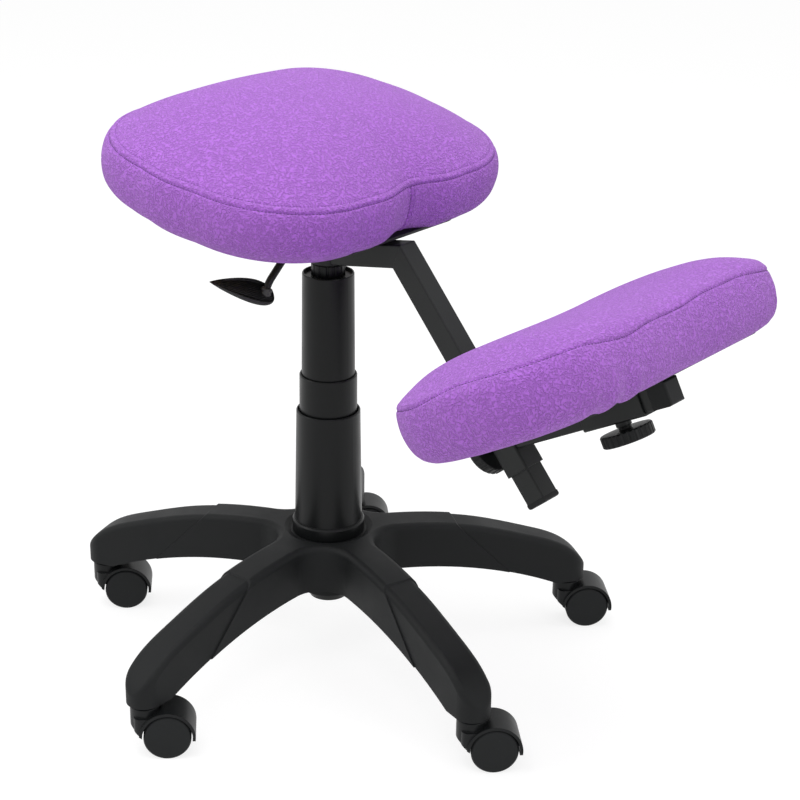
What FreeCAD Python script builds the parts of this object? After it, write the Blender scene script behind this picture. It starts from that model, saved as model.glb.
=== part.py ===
import FreeCAD, Part
import math
import os

V = FreeCAD.Vector

# Driving dimensions, millimetres and degrees.
# Origin on the floor under the column. +X to the knee side, +Y to the sitter's left, +Z up.

RUN = 0.05                    # radial clearance of a turning or sliding fit
SLIDE = 0.08                  # clearance on each side of a square slide
TOUCH = 0.3                   # gap between pieces that only pass each other

WHEEL_R = 25.0
WHEEL_INNER = 4.5             # inner face of a wheel, from the caster's middle plane
WHEEL_OUTER = 20.0
TRAIL = 22.7                  # from stem axis to wheel axis
TRAIL_ANGLE = 44.0
HOOD_R = 29.5
HOOD_WALL = 3.2
STEM_R = 5.5
AXLE_R = 3.0
STEM_HOUSING_R = 16.0
STEM_HOUSING_TOP = 57.0
STEM_BOTTOM = 43.0            # above the wheels' rims beside the stem
STEM_TOP = 86.0

STEM_RADIUS = 290.0           # from the column axis to a caster stem
FIRST_ARM = 54.0
ARM_COUNT = 5
ARM_HALF = 21.0
ARM_UNDERSIDE = 60.0
ARM_WALL = 3.2
ARM_EDGE = 7.0
ARM_STEP = 1.4                # the inner part of each arm is proud by this much
WEB_RADIUS = 34.0             # rounding between two arms
HUB_SEAT = 154.0
HUB_R = 34.0
HUB_BOTTOM = 84.0

TUBE_R = 25.0                 # outer tube of the gas spring
TUBE_WALL = 2.5
TUBE_BOTTOM = 72.0
TUBE_TOP = 310.0
CYLINDER_R = 14.0
CYLINDER_BOTTOM = 240.0
CONE_START = 470.0
CONE_TOP = 512.0
CONE_TOP_R = 12.6
ROD_R = 5.0
BUTTON_TOP = 519.5
BUTTON_R = 3.0

COVER_WALL = 1.8
LOWER_COVER = (154.0, 300.0, 38.0, 35.5)     # bottom, top, radius at each
MIDDLE_COVER = (275.0, 342.0, 32.1, 31.8)
UPPER_COVER = (317.0, 458.3, 29.6, 28.3)
CROWN_TOP = 469.0

TUBE = 25.0                   # square tube of the frame
WALL = 2.0
BEND = V(108.7, 0, 513.1)     # outer corner of the bent frame
RISE = 9.9                    # upper tube, above the level
FALL = 49.8                   # down tube, below the level
DOWN_LENGTH = 301.5
PLUG_HEAD = 6.0
SOCKET_R = 19.0
SOCKET_TOP = 510.0

SLEEVE_WALL = 2.5
SLEEVE_LENGTH = 76.0
COLLAR_START = 186.5          # along the down tube, from the bend
BAR_RISE = 28.0
BAR_TOP = -209.6              # below the bend, square to the bar
BAR_LENGTH = 252.0
BAR_PLUG = 22.0
SLEEVE_START = 143.5

KNOB_R = 27.0
KNOB_HEIGHT = 12.2
KNOB_NECK_R = 6.5
KNOB_FLUTES = 28
NUT_R = 8.0
NUT_HEIGHT = 5.0
SCREW_R = 4.0
SHOE_R = 3.4                  # thinner than the screw that presses it
SHOE_HEIGHT = 1.5
PRESS = 0.02                  # gap at each face of a pressure shoe

SEAT_TILT = -9.0              # front edge low
SEAT_BASE = V(0, 0, 494.0)
SEAT_BOTTOM = 43.0            # above the base point, square to the seat
SEAT_CENTRE = -45.0
SEAT_HALF = (161.0, 212.0)
SEAT_CORNER = 122.0
SEAT_BAND = 55.0
SEAT_CROWN = 55.0
SEAT_BOARD = 12.0
SEAT_PLATE = 3.0

SEAT_ROUND = 2.5              # how late the top panel turns down: 2 is a bow, more is flatter

KNEE_CENTRE = 177.0
KNEE_HALF = (119.0, 228.0)
KNEE_CORNER = 102.0
KNEE_BAND = 61.0
KNEE_CROWN = 26.0
KNEE_ROUND = 4.0
KNEE_BOARD = 9.0
KNEE_PLATE = 4.0
KNEE_PLATE_HALF = (93.0, 153.0)
KNEE_PLATE_CENTRE = 171.0

LEVER_R = 4.0
LEVER_PIVOT = V(0, -16.0, BUTTON_TOP + TOUCH + LEVER_R)
GRIP_TIP = V(-20.0, -159.0, 481.8)
GRIP_DEPTH = 10.0             # of the rod in the grip
GRIP_THICK = 8.0

os.makedirs("parts", exist_ok=True)


def save(name, shape):
    """Writes one piece, or a group of pieces that stay together."""
    if isinstance(shape, list):
        shape = Part.makeCompound(shape)
    shape.exportStep("parts/" + name + ".step")


def rod(radius, low, high, x=0.0, y=0.0):
    """Upright cylinder."""
    return Part.makeCylinder(radius, high - low, V(x, y, low))


def ring(outer, inner, low, high, x=0.0, y=0.0):
    """Upright tube."""
    return rod(outer, low, high, x, y).cut(rod(inner, low - 1, high + 1, x, y))


def cone(low_r, high_r, low, high):
    """Upright cone."""
    return Part.makeCone(low_r, high_r, high - low, V(0, 0, low))


def block(x0, x1, y0, y1, z0, z1):
    """Box between two corners."""
    return Part.makeBox(x1 - x0, y1 - y0, z1 - z0, V(x0, y0, z0))


def polygon(points):
    """Closed wire through points."""
    return Part.makePolygon(points + [points[0]])


def turned(points):
    """Solid of revolution about Z from radius and height pairs."""
    face = Part.Face(polygon([V(r, 0, z) for r, z in points]))
    return face.revolve(V(0, 0, 0), V(0, 0, 1), 360)


def placed(shape, origin, along, up):
    """Copy of a shape with local X turned to along and local Z to up, moved to origin."""
    side = up.cross(along)
    matrix = FreeCAD.Matrix(
        along.x, side.x, up.x, origin.x,
        along.y, side.y, up.y, origin.y,
        along.z, side.z, up.z, origin.z,
        0, 0, 0, 1)
    copy = shape.copy()
    copy.Placement = FreeCAD.Placement(matrix).multiply(copy.Placement)
    return copy


def slope(angle):
    """Direction along X, raised by an angle, and its normal."""
    a = math.radians(angle)
    return V(math.cos(a), 0, math.sin(a)), V(-math.sin(a), 0, math.cos(a))


RISE_ALONG, RISE_UP = slope(RISE)
FALL_ALONG, FALL_UP = slope(-FALL)
BAR_ALONG, BAR_UP = slope(BAR_RISE)
SEAT_ALONG, SEAT_UP = slope(SEAT_TILT)


def on_fall(shape):
    return placed(shape, BEND, FALL_ALONG, FALL_UP)


def on_bar(shape):
    return placed(shape, BEND, BAR_ALONG, BAR_UP)


def on_seat(shape):
    return placed(shape, SEAT_BASE, SEAT_ALONG, SEAT_UP)


# Base star

def star_face(half, reach, web):
    """Plan of the five arms, parallel sides, round tips and round webs between them."""
    step = 2 * math.pi / ARM_COUNT
    middle = (half + web) / math.sin(step / 2)
    start = middle * math.cos(step / 2)
    edges = []
    for k in range(ARM_COUNT):
        a = math.radians(FIRST_ARM) + k * step

        def spot(x, y):
            return V(x * math.cos(a) - y * math.sin(a), x * math.sin(a) + y * math.cos(a), 0)

        edges.append(Part.makeLine(spot(start, -half), spot(reach, -half)))
        edges.append(Part.Arc(spot(reach, -half), spot(reach + half, 0), spot(reach, half)).toShape())
        edges.append(Part.makeLine(spot(reach, half), spot(start, half)))
        b = a + step / 2
        inner = middle - web
        edges.append(Part.Arc(
            spot(start, half),
            V(inner * math.cos(b), inner * math.sin(b), 0),
            V(start * math.cos(a + step) + half * math.sin(a + step),
              start * math.sin(a + step) - half * math.cos(a + step), 0)).toShape())
    return Part.Face(Part.Wire(edges))


def arch(drop, under):
    """Revolved arch of the arms. drop lowers its top, under is the height of its lower edge."""
    top = [V(0, 0, HUB_SEAT - drop), V(43, 0, HUB_SEAT - drop), V(50, 0, 157.5 - drop)]
    ridge = [(110, 155), (180, 143.5), (240, 125), (284, 106), (303, 88), (313, 62)]
    spline = Part.BSplineCurve()
    spline.interpolate([top[2]] + [V(r, 0, z - drop) for r, z in ridge])
    tip = V(ridge[-1][0], 0, ridge[-1][1] - drop)
    foot = V(tip.x, 0, min(under, tip.z - 0.5))
    heel = V(272, 0, foot.z)
    edges = [
        Part.makeLine(top[0], top[1]),
        Part.makeLine(top[1], top[2]),
        spline.toShape(),
        Part.makeLine(tip, foot),
        Part.makeLine(foot, heel),
        Part.Arc(heel, V(170, 0, 93), V(50, 0, 103)).toShape(),
        Part.makeLine(V(50, 0, 103), V(0, 0, 103)),
        Part.makeLine(V(0, 0, 103), top[0])]
    return Part.Face(Part.Wire(edges)).revolve(V(0, 0, 0), V(0, 0, 1), 360)


def round_top(solid, radius):
    """Rounds the upper edges of the arms, where the sides meet the arched top."""
    chosen = {}
    for face in solid.Faces:
        u0, u1, v0, v1 = face.ParameterRange
        upright = abs(face.normalAt((u0 + u1) / 2, (v0 + v1) / 2).z) < 0.001
        if not upright or face.BoundBox.ZLength < 5:
            continue
        for edge in face.Edges:
            start, end = (v.Point for v in edge.Vertexes)
            if (start - end).Length < 0.01 or math.hypot(start.x - end.x, start.y - end.y) < 0.01:
                continue
            middle = edge.valueAt((edge.FirstParameter + edge.LastParameter) / 2)
            if middle.z > face.CenterOfMass.z:
                chosen[edge.hashCode()] = edge
    return solid.makeFillet(radius, list(chosen.values()))


def base_star():
    """Moulded star: proud inner part, hollow below, ribs, hub and caster sockets."""
    outer = star_face(ARM_HALF - ARM_STEP, STEM_RADIUS, WEB_RADIUS + ARM_STEP)
    outer = outer.extrude(V(0, 0, 200)).common(arch(ARM_STEP, ARM_UNDERSIDE))
    inner = star_face(ARM_HALF, STEM_RADIUS, WEB_RADIUS)
    inner = inner.extrude(V(0, 0, 200)).common(arch(0, ARM_UNDERSIDE))
    step_cone = cone(250, 138, 43, 160)
    outer = round_top(outer, ARM_EDGE)
    inner = round_top(inner, ARM_EDGE).common(step_cone)
    solid = outer.fuse(inner)

    plan = star_face(ARM_HALF - ARM_STEP - ARM_WALL, STEM_RADIUS - 4, WEB_RADIUS + ARM_STEP + ARM_WALL)
    hollow = plan.extrude(V(0, 0, 200)).common(arch(ARM_STEP + ARM_WALL + 2.5, ARM_UNDERSIDE - 5))
    deep = plan.extrude(V(0, 0, 104 - 50))
    deep.translate(V(0, 0, 50))
    deep = deep.common(rod(276, 40, 200))
    hollow = hollow.fuse(deep)
    keep = [rod(HUB_R, 50, 200)]
    for k in range(ARM_COUNT):
        a = FIRST_ARM + k * 360.0 / ARM_COUNT
        c, s = math.cos(math.radians(a)), math.sin(math.radians(a))
        keep.append(rod(12.0, ARM_UNDERSIDE, 200, STEM_RADIUS * c, STEM_RADIUS * s))
        spine = block(30, STEM_RADIUS, -1.3, 1.3, 50, 200)
        spine = spine.common(block(30, 262, -2, 2, 72, 200))
        ribs = [spine]
        for x in (96.0, 140.0, 184.0, 228.0):
            ribs.append(block(x - 1.3, x + 1.3, -ARM_HALF, ARM_HALF, 96 - 0.12 * (x - 96), 200))
        for rib in ribs:
            rib.rotate(V(0, 0, 0), V(0, 0, 1), a)
            keep.append(rib)
    body = keep[0].fuse(keep[1:])
    solid = solid.cut(hollow.cut(body))
    solid = solid.fuse(rod(HUB_R, HUB_BOTTOM, HUB_SEAT - 4))
    solid = solid.cut(rod(TUBE_R + RUN, 50, 200))
    for k in range(ARM_COUNT):
        a = math.radians(FIRST_ARM + k * 360.0 / ARM_COUNT)
        x, y = STEM_RADIUS * math.cos(a), STEM_RADIUS * math.sin(a)
        solid = solid.cut(rod(STEM_R + RUN, 50, STEM_TOP + 1, x, y))
    return solid.removeSplitter()


save("base_star", base_star())


# Column

def cover(bottom, top, low_r, high_r):
    """Telescopic cover, a thin tapering tube with a small rounded mouth."""
    mouth = 1.2
    near = high_r + (low_r - high_r) * mouth / (top - bottom)
    return turned([
        (low_r, bottom), (near, top - mouth), (high_r - 0.6, top), (high_r - COVER_WALL, top),
        (low_r - COVER_WALL, bottom)])


def lower_cover():
    """Lower cover with its foot ring."""
    bottom, top, low_r, high_r = LOWER_COVER
    foot = turned([
        (low_r - COVER_WALL, bottom), (low_r + 2.5, bottom), (low_r + 2.5, bottom + 13),
        (low_r + 1.2, bottom + 15), (low_r - COVER_WALL, bottom + 15)])
    return cover(bottom, top, low_r, high_r).fuse(foot).removeSplitter()


save("lower_cover", lower_cover())
save("middle_cover", cover(*MIDDLE_COVER))
save("upper_cover", cover(*UPPER_COVER))

outer_tube = turned([
    (TUBE_R - 3.5, TUBE_BOTTOM), (TUBE_R, TUBE_BOTTOM + 14), (TUBE_R, TUBE_TOP),
    (TUBE_R - TUBE_WALL, TUBE_TOP), (TUBE_R - TUBE_WALL, TUBE_BOTTOM + 15),
    (ROD_R + 0.1, TUBE_BOTTOM + 15), (ROD_R + 0.1, TUBE_BOTTOM + 9), (TUBE_R - 7, TUBE_BOTTOM + 9),
    (TUBE_R - 7, TUBE_BOTTOM)])
save("gas_outer_tube", outer_tube)

TUBE_FLOOR = TUBE_BOTTOM + 15
BUSH_R = TUBE_R - TUBE_WALL
save("guide_bush", turned([
    (CYLINDER_R + RUN, 250), (BUSH_R, 250), (BUSH_R, TUBE_TOP), (TUBE_R - 0.5, TUBE_TOP),
    (TUBE_R - 0.5, TUBE_TOP + 3), (CYLINDER_R + RUN, TUBE_TOP + 3)]))
save("thrust_bearing", ring(14.0, ROD_R + 0.1, TUBE_FLOOR, TUBE_FLOOR + 6))
save("piston_rod", turned([
    (0, TUBE_BOTTOM + 3), (ROD_R, TUBE_BOTTOM + 3), (ROD_R, TUBE_FLOOR + 6), (10, TUBE_FLOOR + 6),
    (10, TUBE_FLOOR + 10), (ROD_R, TUBE_FLOOR + 10), (ROD_R, 288), (CYLINDER_R - 1.7, 288),
    (CYLINDER_R - 1.7, 297), (0, 297)]))
save("bump_buffer", ring(13.0, ROD_R, TUBE_FLOOR + 10, TUBE_FLOOR + 28))
save("retaining_clip", ring(10.0, ROD_R, TUBE_BOTTOM + 5.5, TUBE_BOTTOM + 9))
save("gas_cylinder", turned([
    (ROD_R + RUN, CYLINDER_BOTTOM), (CYLINDER_R - 1, CYLINDER_BOTTOM), (CYLINDER_R, CYLINDER_BOTTOM + 1),
    (CYLINDER_R, CONE_START), (CONE_TOP_R, CONE_TOP), (BUTTON_R + RUN, CONE_TOP),
    (BUTTON_R + RUN, 484), (CYLINDER_R - 1.6, 480), (CYLINDER_R - 1.6, CYLINDER_BOTTOM + 10),
    (ROD_R + RUN, CYLINDER_BOTTOM + 10)]))
save("release_button", turned([
    (0, 488), (BUTTON_R, 488), (BUTTON_R, CONE_TOP + 3.5), (BUTTON_R + 0.8, CONE_TOP + 3.5),
    (BUTTON_R + 0.8, BUTTON_TOP - 0.8), (BUTTON_R, BUTTON_TOP), (0, BUTTON_TOP)]))


def crown():
    """Fluted ring that closes the upper cover's mouth around the cylinder."""
    mouth_r = UPPER_COVER[3] - COVER_WALL
    top = UPPER_COVER[1]
    flange = ring(mouth_r, CYLINDER_R, top - 6, top - 3)
    barrel = ring(18.5, CYLINDER_R, top - 6, CROWN_TOP)
    flutes = []
    for k in range(14):
        a = 2 * math.pi * k / 14
        flutes.append(rod(1.5, top - 2.5, CROWN_TOP + 1, 19 * math.cos(a), 19 * math.sin(a)))
    return flange.fuse(barrel).cut(Part.makeCompound(flutes))


save("cover_crown", crown())


# Frame of square tube

def square_bar(start, end, wall):
    """Square tube along local X, its top face at zero."""
    h = TUBE / 2
    tube = block(start, end, -h, h, -TUBE, 0)
    edges = [e for e in tube.Edges if abs(e.Vertexes[0].X - e.Vertexes[1].X) > 1]
    tube = tube.makeFillet(1.8, edges)
    return tube.cut(block(start - 1, end + 1, -h + wall, h - wall, -TUBE + wall, -wall))


def mitre_block(sign):
    """Large block on one side of the mitre plane through the bend."""
    normal = (RISE_ALONG + FALL_ALONG)
    normal.normalize()
    across = V(0, 1, 0).cross(normal)
    big = Part.makeBox(400, 400, 400, V(0, -200, -200))
    if sign < 0:
        big.translate(V(-400, 0, 0))
    return placed(big, BEND, normal, across * -1)


def gas_socket():
    """Steel taper socket that stands in the upper tube."""
    outer = rod(SOCKET_R, CONE_START + 0.2, SOCKET_TOP)
    bore = cone(CYLINDER_R + 0.03, CONE_TOP_R + 0.03, CONE_START, CONE_TOP)
    return outer.cut(bore)


top_tube = placed(square_bar(-150, 40, WALL), BEND, RISE_ALONG, RISE_UP)
top_tube = top_tube.cut(mitre_block(1)).cut(rod(SOCKET_R, 300, 700))
top_tube = top_tube.common(block(0, 300, -50, 50, 300, 700))
save("top_tube", top_tube)
down_tube = on_fall(square_bar(-40, DOWN_LENGTH - PLUG_HEAD, WALL)).cut(mitre_block(-1))
save("down_tube", down_tube)
save("gas_socket", gas_socket())


def end_plug(end, head, wall):
    """Plastic plug: ribbed shank in the tube and a head with rounded rim."""
    h = TUBE / 2
    cap = block(end - head, end, -h, h, -TUBE, 0)
    rim = [e for e in cap.Edges if min(v.X for v in e.Vertexes) > end - 0.01]
    cap = cap.makeFillet(2.5, rim)
    inner = h - wall
    shank = block(end - head - 14, end - head, -inner, inner, -TUBE + wall, -wall)
    shank = shank.cut(block(end - head - 15, end - head, -inner + 2, inner - 2, -TUBE + wall + 2, -wall - 2))
    return cap.fuse(shank)


save("tube_end_cap", on_fall(end_plug(DOWN_LENGTH, PLUG_HEAD, WALL)))


# Collar, knee bar and sleeve

def sleeve(start, length):
    """Square sleeve that slides on the tube, with a weld nut below."""
    h = TUBE / 2 + SLIDE
    o = h + SLEEVE_WALL
    mid = -TUBE / 2
    body = block(start, start + length, -o, o, mid - o, mid + o)
    edges = [e for e in body.Edges if abs(e.Vertexes[0].X - e.Vertexes[1].X) > 1]
    body = body.makeFillet(2.5, edges)
    body = body.cut(block(start - 1, start + length + 1, -h, h, mid - h, mid + h))
    x = start + length / 2
    nut = rod(NUT_R, mid - o - NUT_HEIGHT, mid - o, x, 0)
    return body.fuse(nut).cut(rod(SCREW_R + RUN, mid - o - NUT_HEIGHT - 1, mid, x, 0))


def clamp_set(start, length):
    """Pressure shoe, screw and fluted knob below a sleeve."""
    x = start + length / 2
    face = -TUBE - PRESS
    outer = -TUBE - SLIDE - SLEEVE_WALL - NUT_HEIGHT
    shoe = rod(SHOE_R, face - SHOE_HEIGHT, face, x, 0)
    neck_top = outer - TOUCH
    disc_top = neck_top - 3.0
    disc_bottom = disc_top - KNOB_HEIGHT
    screw = rod(SCREW_R, disc_top - 8, face - SHOE_HEIGHT - PRESS, x, 0)
    disc = rod(KNOB_R, disc_bottom, disc_top, x, 0)
    disc = disc.makeChamfer(1.2, [e for e in disc.Edges if abs(e.BoundBox.ZLength) < 0.01])
    flutes = []
    for k in range(KNOB_FLUTES):
        a = 2 * math.pi * k / KNOB_FLUTES
        cx, cy = x + (KNOB_R + 0.9) * math.cos(a), (KNOB_R + 0.9) * math.sin(a)
        flutes.append(rod(1.8, disc_bottom - 1, disc_top + 1, cx, cy))
    disc = disc.cut(Part.makeCompound(flutes))
    dish = rod(KNOB_R - 6, disc_bottom - 1, disc_bottom + 1.5, x, 0)
    knob = disc.cut(dish).fuse(rod(KNOB_NECK_R, disc_top, neck_top, x, 0))
    knob = knob.cut(rod(SCREW_R, disc_top - 8, neck_top + 1, x, 0))
    return shoe, screw, knob


save("knee_collar", on_fall(sleeve(COLLAR_START, SLEEVE_LENGTH)))
for piece, name in zip(clamp_set(COLLAR_START, SLEEVE_LENGTH), ("shoe_upper", "screw_upper", "knob_upper")):
    save(name, on_fall(piece))


def lowered(shape):
    """Local shape shifted from the tube's own top face to the bar's height."""
    shape.translate(V(0, 0, BAR_TOP))
    return on_bar(shape)


collar_face = on_fall(block(-300, 600, -100, 100, -400, SLIDE + SLEEVE_WALL))
bar = lowered(square_bar(0, BAR_LENGTH - BAR_PLUG, WALL)).cut(collar_face)
save("knee_bar", bar)
save("bar_end_cap", lowered(end_plug(BAR_LENGTH, BAR_PLUG, WALL)))
save("pad_sleeve", lowered(sleeve(SLEEVE_START, SLEEVE_LENGTH)))
for piece, name in zip(clamp_set(SLEEVE_START, SLEEVE_LENGTH), ("shoe_lower", "screw_lower", "knob_lower")):
    save(name, lowered(piece))


# Cushions

def cushion_wire(half, corner, height, notch, bow):
    """Rounded outline: bowed sides, round corners and a front edge drawn in at the middle."""
    a, b = half
    ax, by = a - corner, b - corner
    k = corner * math.sqrt(0.5)

    def p(x, y):
        return V(x, y, height)

    front_mid = p(a - notch, 0)
    lobe = p(a, by * 0.62)
    edges = [
        Part.Arc(p(ax + corner * 0.985, by), p(ax + k, by + k), p(ax, b)).toShape(),
        Part.Arc(p(ax, b), p(0, b + bow), p(-ax, b)).toShape(),
        Part.Arc(p(-ax, b), p(-ax - k, by + k), p(-a, by)).toShape(),
        Part.Arc(p(-a, by), p(-a - bow, 0), p(-a, -by)).toShape(),
        Part.Arc(p(-a, -by), p(-ax - k, -by - k), p(-ax, -b)).toShape(),
        Part.Arc(p(-ax, -b), p(0, -b - bow), p(ax, -b)).toShape(),
        Part.Arc(p(ax, -b), p(ax + k, -by - k), p(ax + corner * 0.985, -by)).toShape()]
    spline = Part.BSplineCurve()
    spline.interpolate([
        p(ax + corner * 0.985, -by), p(lobe.x, -lobe.y), front_mid, lobe, p(ax + corner * 0.985, by)])
    edges.append(spline.toShape())
    return Part.Wire(edges)


def cushion(half, corner, band, crown_height, power, notch, bow, low_inset, seam_inset):
    """Upholstered pad: drawn in below, full sides, seam at the band's top, domed face."""
    a, b = half
    levels = [
        (0.0, low_inset, 1.0), (0.10 * band, low_inset * 0.45, 1.0), (0.30 * band, 1.0, 1.0),
        (0.60 * band, 0.0, 1.0), (0.85 * band, seam_inset * 0.35, 0.9), (band, seam_inset, 0.75)]
    wires = []
    for height, inset, pull in levels:
        shrunk = (a - inset, b - inset)
        wires.append(cushion_wire(shrunk, corner - inset * 0.5, height, notch * pull, bow))
    side = Part.makeLoft(wires, True, False)
    top = [wires[-1]]
    for share in (0.92, 0.78, 0.58, 0.36, 0.14):
        rise = band + crown_height * (1 - share ** power)
        shrunk = ((a - seam_inset) * share, (b - seam_inset) * share)
        round_r = (corner - seam_inset * 0.5) * share
        pull = 0.75 * share ** 3
        top.append(cushion_wire(shrunk, round_r, rise, notch * pull, bow * share))
    dome = Part.makeLoft(top, True, False)
    return side.fuse(dome)


seat = cushion(SEAT_HALF, SEAT_CORNER, SEAT_BAND, SEAT_CROWN, SEAT_ROUND, 13.0, 5.0, 9.0, 5.0)
board_wire = cushion_wire((SEAT_HALF[0] - 34, SEAT_HALF[1] - 36), SEAT_CORNER - 34, 0.0, 10.0, 4.0)
board = Part.Face(board_wire).extrude(V(0, 0, SEAT_BOARD))
seat = seat.cut(board)
for shape in (seat, board):
    shape.translate(V(SEAT_CENTRE, 0, SEAT_BOTTOM))
save("seat_cushion", on_seat(seat))

knee = cushion(KNEE_HALF, KNEE_CORNER, KNEE_BAND, KNEE_CROWN, KNEE_ROUND, 4.0, 3.0, 14.0, 5.0)
knee_board = block(-72, 72, -165, 165, 0, KNEE_BOARD)
knee_board = knee_board.makeFillet(30, [e for e in knee_board.Edges if e.BoundBox.ZLength > 8])
knee = knee.cut(knee_board)
KNEE_BOTTOM = BAR_TOP + SLIDE + SLEEVE_WALL + KNEE_PLATE
for shape in (knee, knee_board):
    shape.translate(V(KNEE_CENTRE, 0, KNEE_BOTTOM))
save("knee_cushion", on_bar(knee))


def screw_row(points, head_low, head_high, tip, head_r, shank_r):
    """Screws with heads below and shanks going up."""
    group = []
    for x, y in points:
        head = rod(head_r, head_low, head_high, x, y)
        head = head.cut(block(x - 0.6, x + 0.6, y - head_r, y + head_r, head_low - 1, head_low + 1))
        group.append(head.fuse(rod(shank_r, head_high, tip, x, y)))
    return group


# Pad plate, board and screws

px, py = KNEE_PLATE_HALF
knee_plate = block(KNEE_PLATE_CENTRE - px, KNEE_PLATE_CENTRE + px, -py, py, KNEE_BOTTOM - KNEE_PLATE, KNEE_BOTTOM)
knee_plate = knee_plate.makeFillet(12, [e for e in knee_plate.Edges if 3 < e.BoundBox.ZLength < 5])
knee_points = [(KNEE_CENTRE + i * 55.0, j * 110.0) for i in (-1, 1) for j in (-1, 1)]
for x, y in knee_points:
    knee_plate = knee_plate.cut(rod(2.6, KNEE_BOTTOM - 10, KNEE_BOTTOM + 1, x, y))
    knee_board = knee_board.cut(rod(2.5, KNEE_BOTTOM - 1, KNEE_BOTTOM + 7.2, x, y))
save("knee_board", on_bar(knee_board))
save("knee_plate", on_bar(knee_plate))
head_top = KNEE_BOTTOM - KNEE_PLATE
save("knee_screws", [on_bar(s) for s in screw_row(knee_points, head_top - 2.6, head_top, KNEE_BOTTOM + 7, 5.0, 2.5)])


# Seat plate, bolts, board and bracket

PLATE_LOW = SEAT_BOTTOM - SEAT_PLATE
plate = block(-130, 98, -95, 95, PLATE_LOW, SEAT_BOTTOM)
plate = plate.makeFillet(20, [e for e in plate.Edges if 2 < e.BoundBox.ZLength < 4])
lips = block(-105, 73, 92.5, 95, PLATE_LOW - 7, PLATE_LOW).fuse(block(-105, 73, -95, -92.5, PLATE_LOW - 7, PLATE_LOW))
plate = plate.fuse(lips)
seat_points = [(x, y) for x in (-100.0, 45.0) for y in (-72.0, 72.0)]
for x, y in seat_points:
    plate = plate.cut(rod(3.1, 0, 60, x, y))
    board = board.cut(rod(3.0, 0, SEAT_BOTTOM + 9.2, x, y))
save("seat_plate", on_seat(plate.removeSplitter()))
save("seat_board", on_seat(board))
save("seat_bolts", [on_seat(s) for s in screw_row(seat_points, PLATE_LOW - 4, PLATE_LOW, SEAT_BOTTOM + 9, 6.0, 3.0)])


def seat_bracket():
    """Pressed trough between the frame tube and the seat plate, with ears for the lever pin."""
    inner, outer, back, front = SOCKET_R + 0.2, SOCKET_R + 3.2, -66.0, 80.0
    tube_top = BEND.z - BEND.x * math.tan(math.radians(RISE))

    def web_z(x):
        return tube_top + x * math.tan(math.radians(RISE))

    def plate_z(x):
        low = SEAT_BASE + SEAT_UP * PLATE_LOW
        return low.z + (x - low.x) * math.tan(math.radians(SEAT_TILT))

    side = Part.Face(polygon([
        V(back, 0, web_z(back)), V(front, 0, web_z(front)),
        V(front, 0, plate_z(front)), V(back, 0, plate_z(back))]))
    trough = side.extrude(V(0, 2 * outer, 0))
    trough.translate(V(0, -outer, 0))
    room = Part.Face(polygon([
        V(back + 3, 0, web_z(back + 3) + 3), V(front - 3, 0, web_z(front - 3) + 3),
        V(front - 3, 0, 600), V(back + 3, 0, 600)])).extrude(V(0, 2 * inner, 0))
    room.translate(V(0, -inner, 0))
    trough = trough.cut(room).cut(rod(SOCKET_R, 400, 600))
    slot = block(-5.5, 5.5, -outer - 1, -inner + 0.01, LEVER_PIVOT.z - 5.5, LEVER_PIVOT.z + 6.5)
    trough = trough.cut(slot)
    for s in (-1, 1):
        x0, x1 = sorted((s * 6.0, s * 9.0))
        ear = block(x0, x1, -inner, LEVER_PIVOT.y + 5, LEVER_PIVOT.z - 6, LEVER_PIVOT.z + 5)
        trough = trough.fuse(ear)
    pin_hole = Part.makeCylinder(2.0, 30, LEVER_PIVOT + V(-15, 0, 0), V(1, 0, 0))
    return trough.cut(pin_hole).removeSplitter()


save("seat_bracket", seat_bracket())
save("lever_pin", Part.makeCylinder(2.0, 24, LEVER_PIVOT + V(-12, 0, 0), V(1, 0, 0)))


# Height lever

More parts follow.
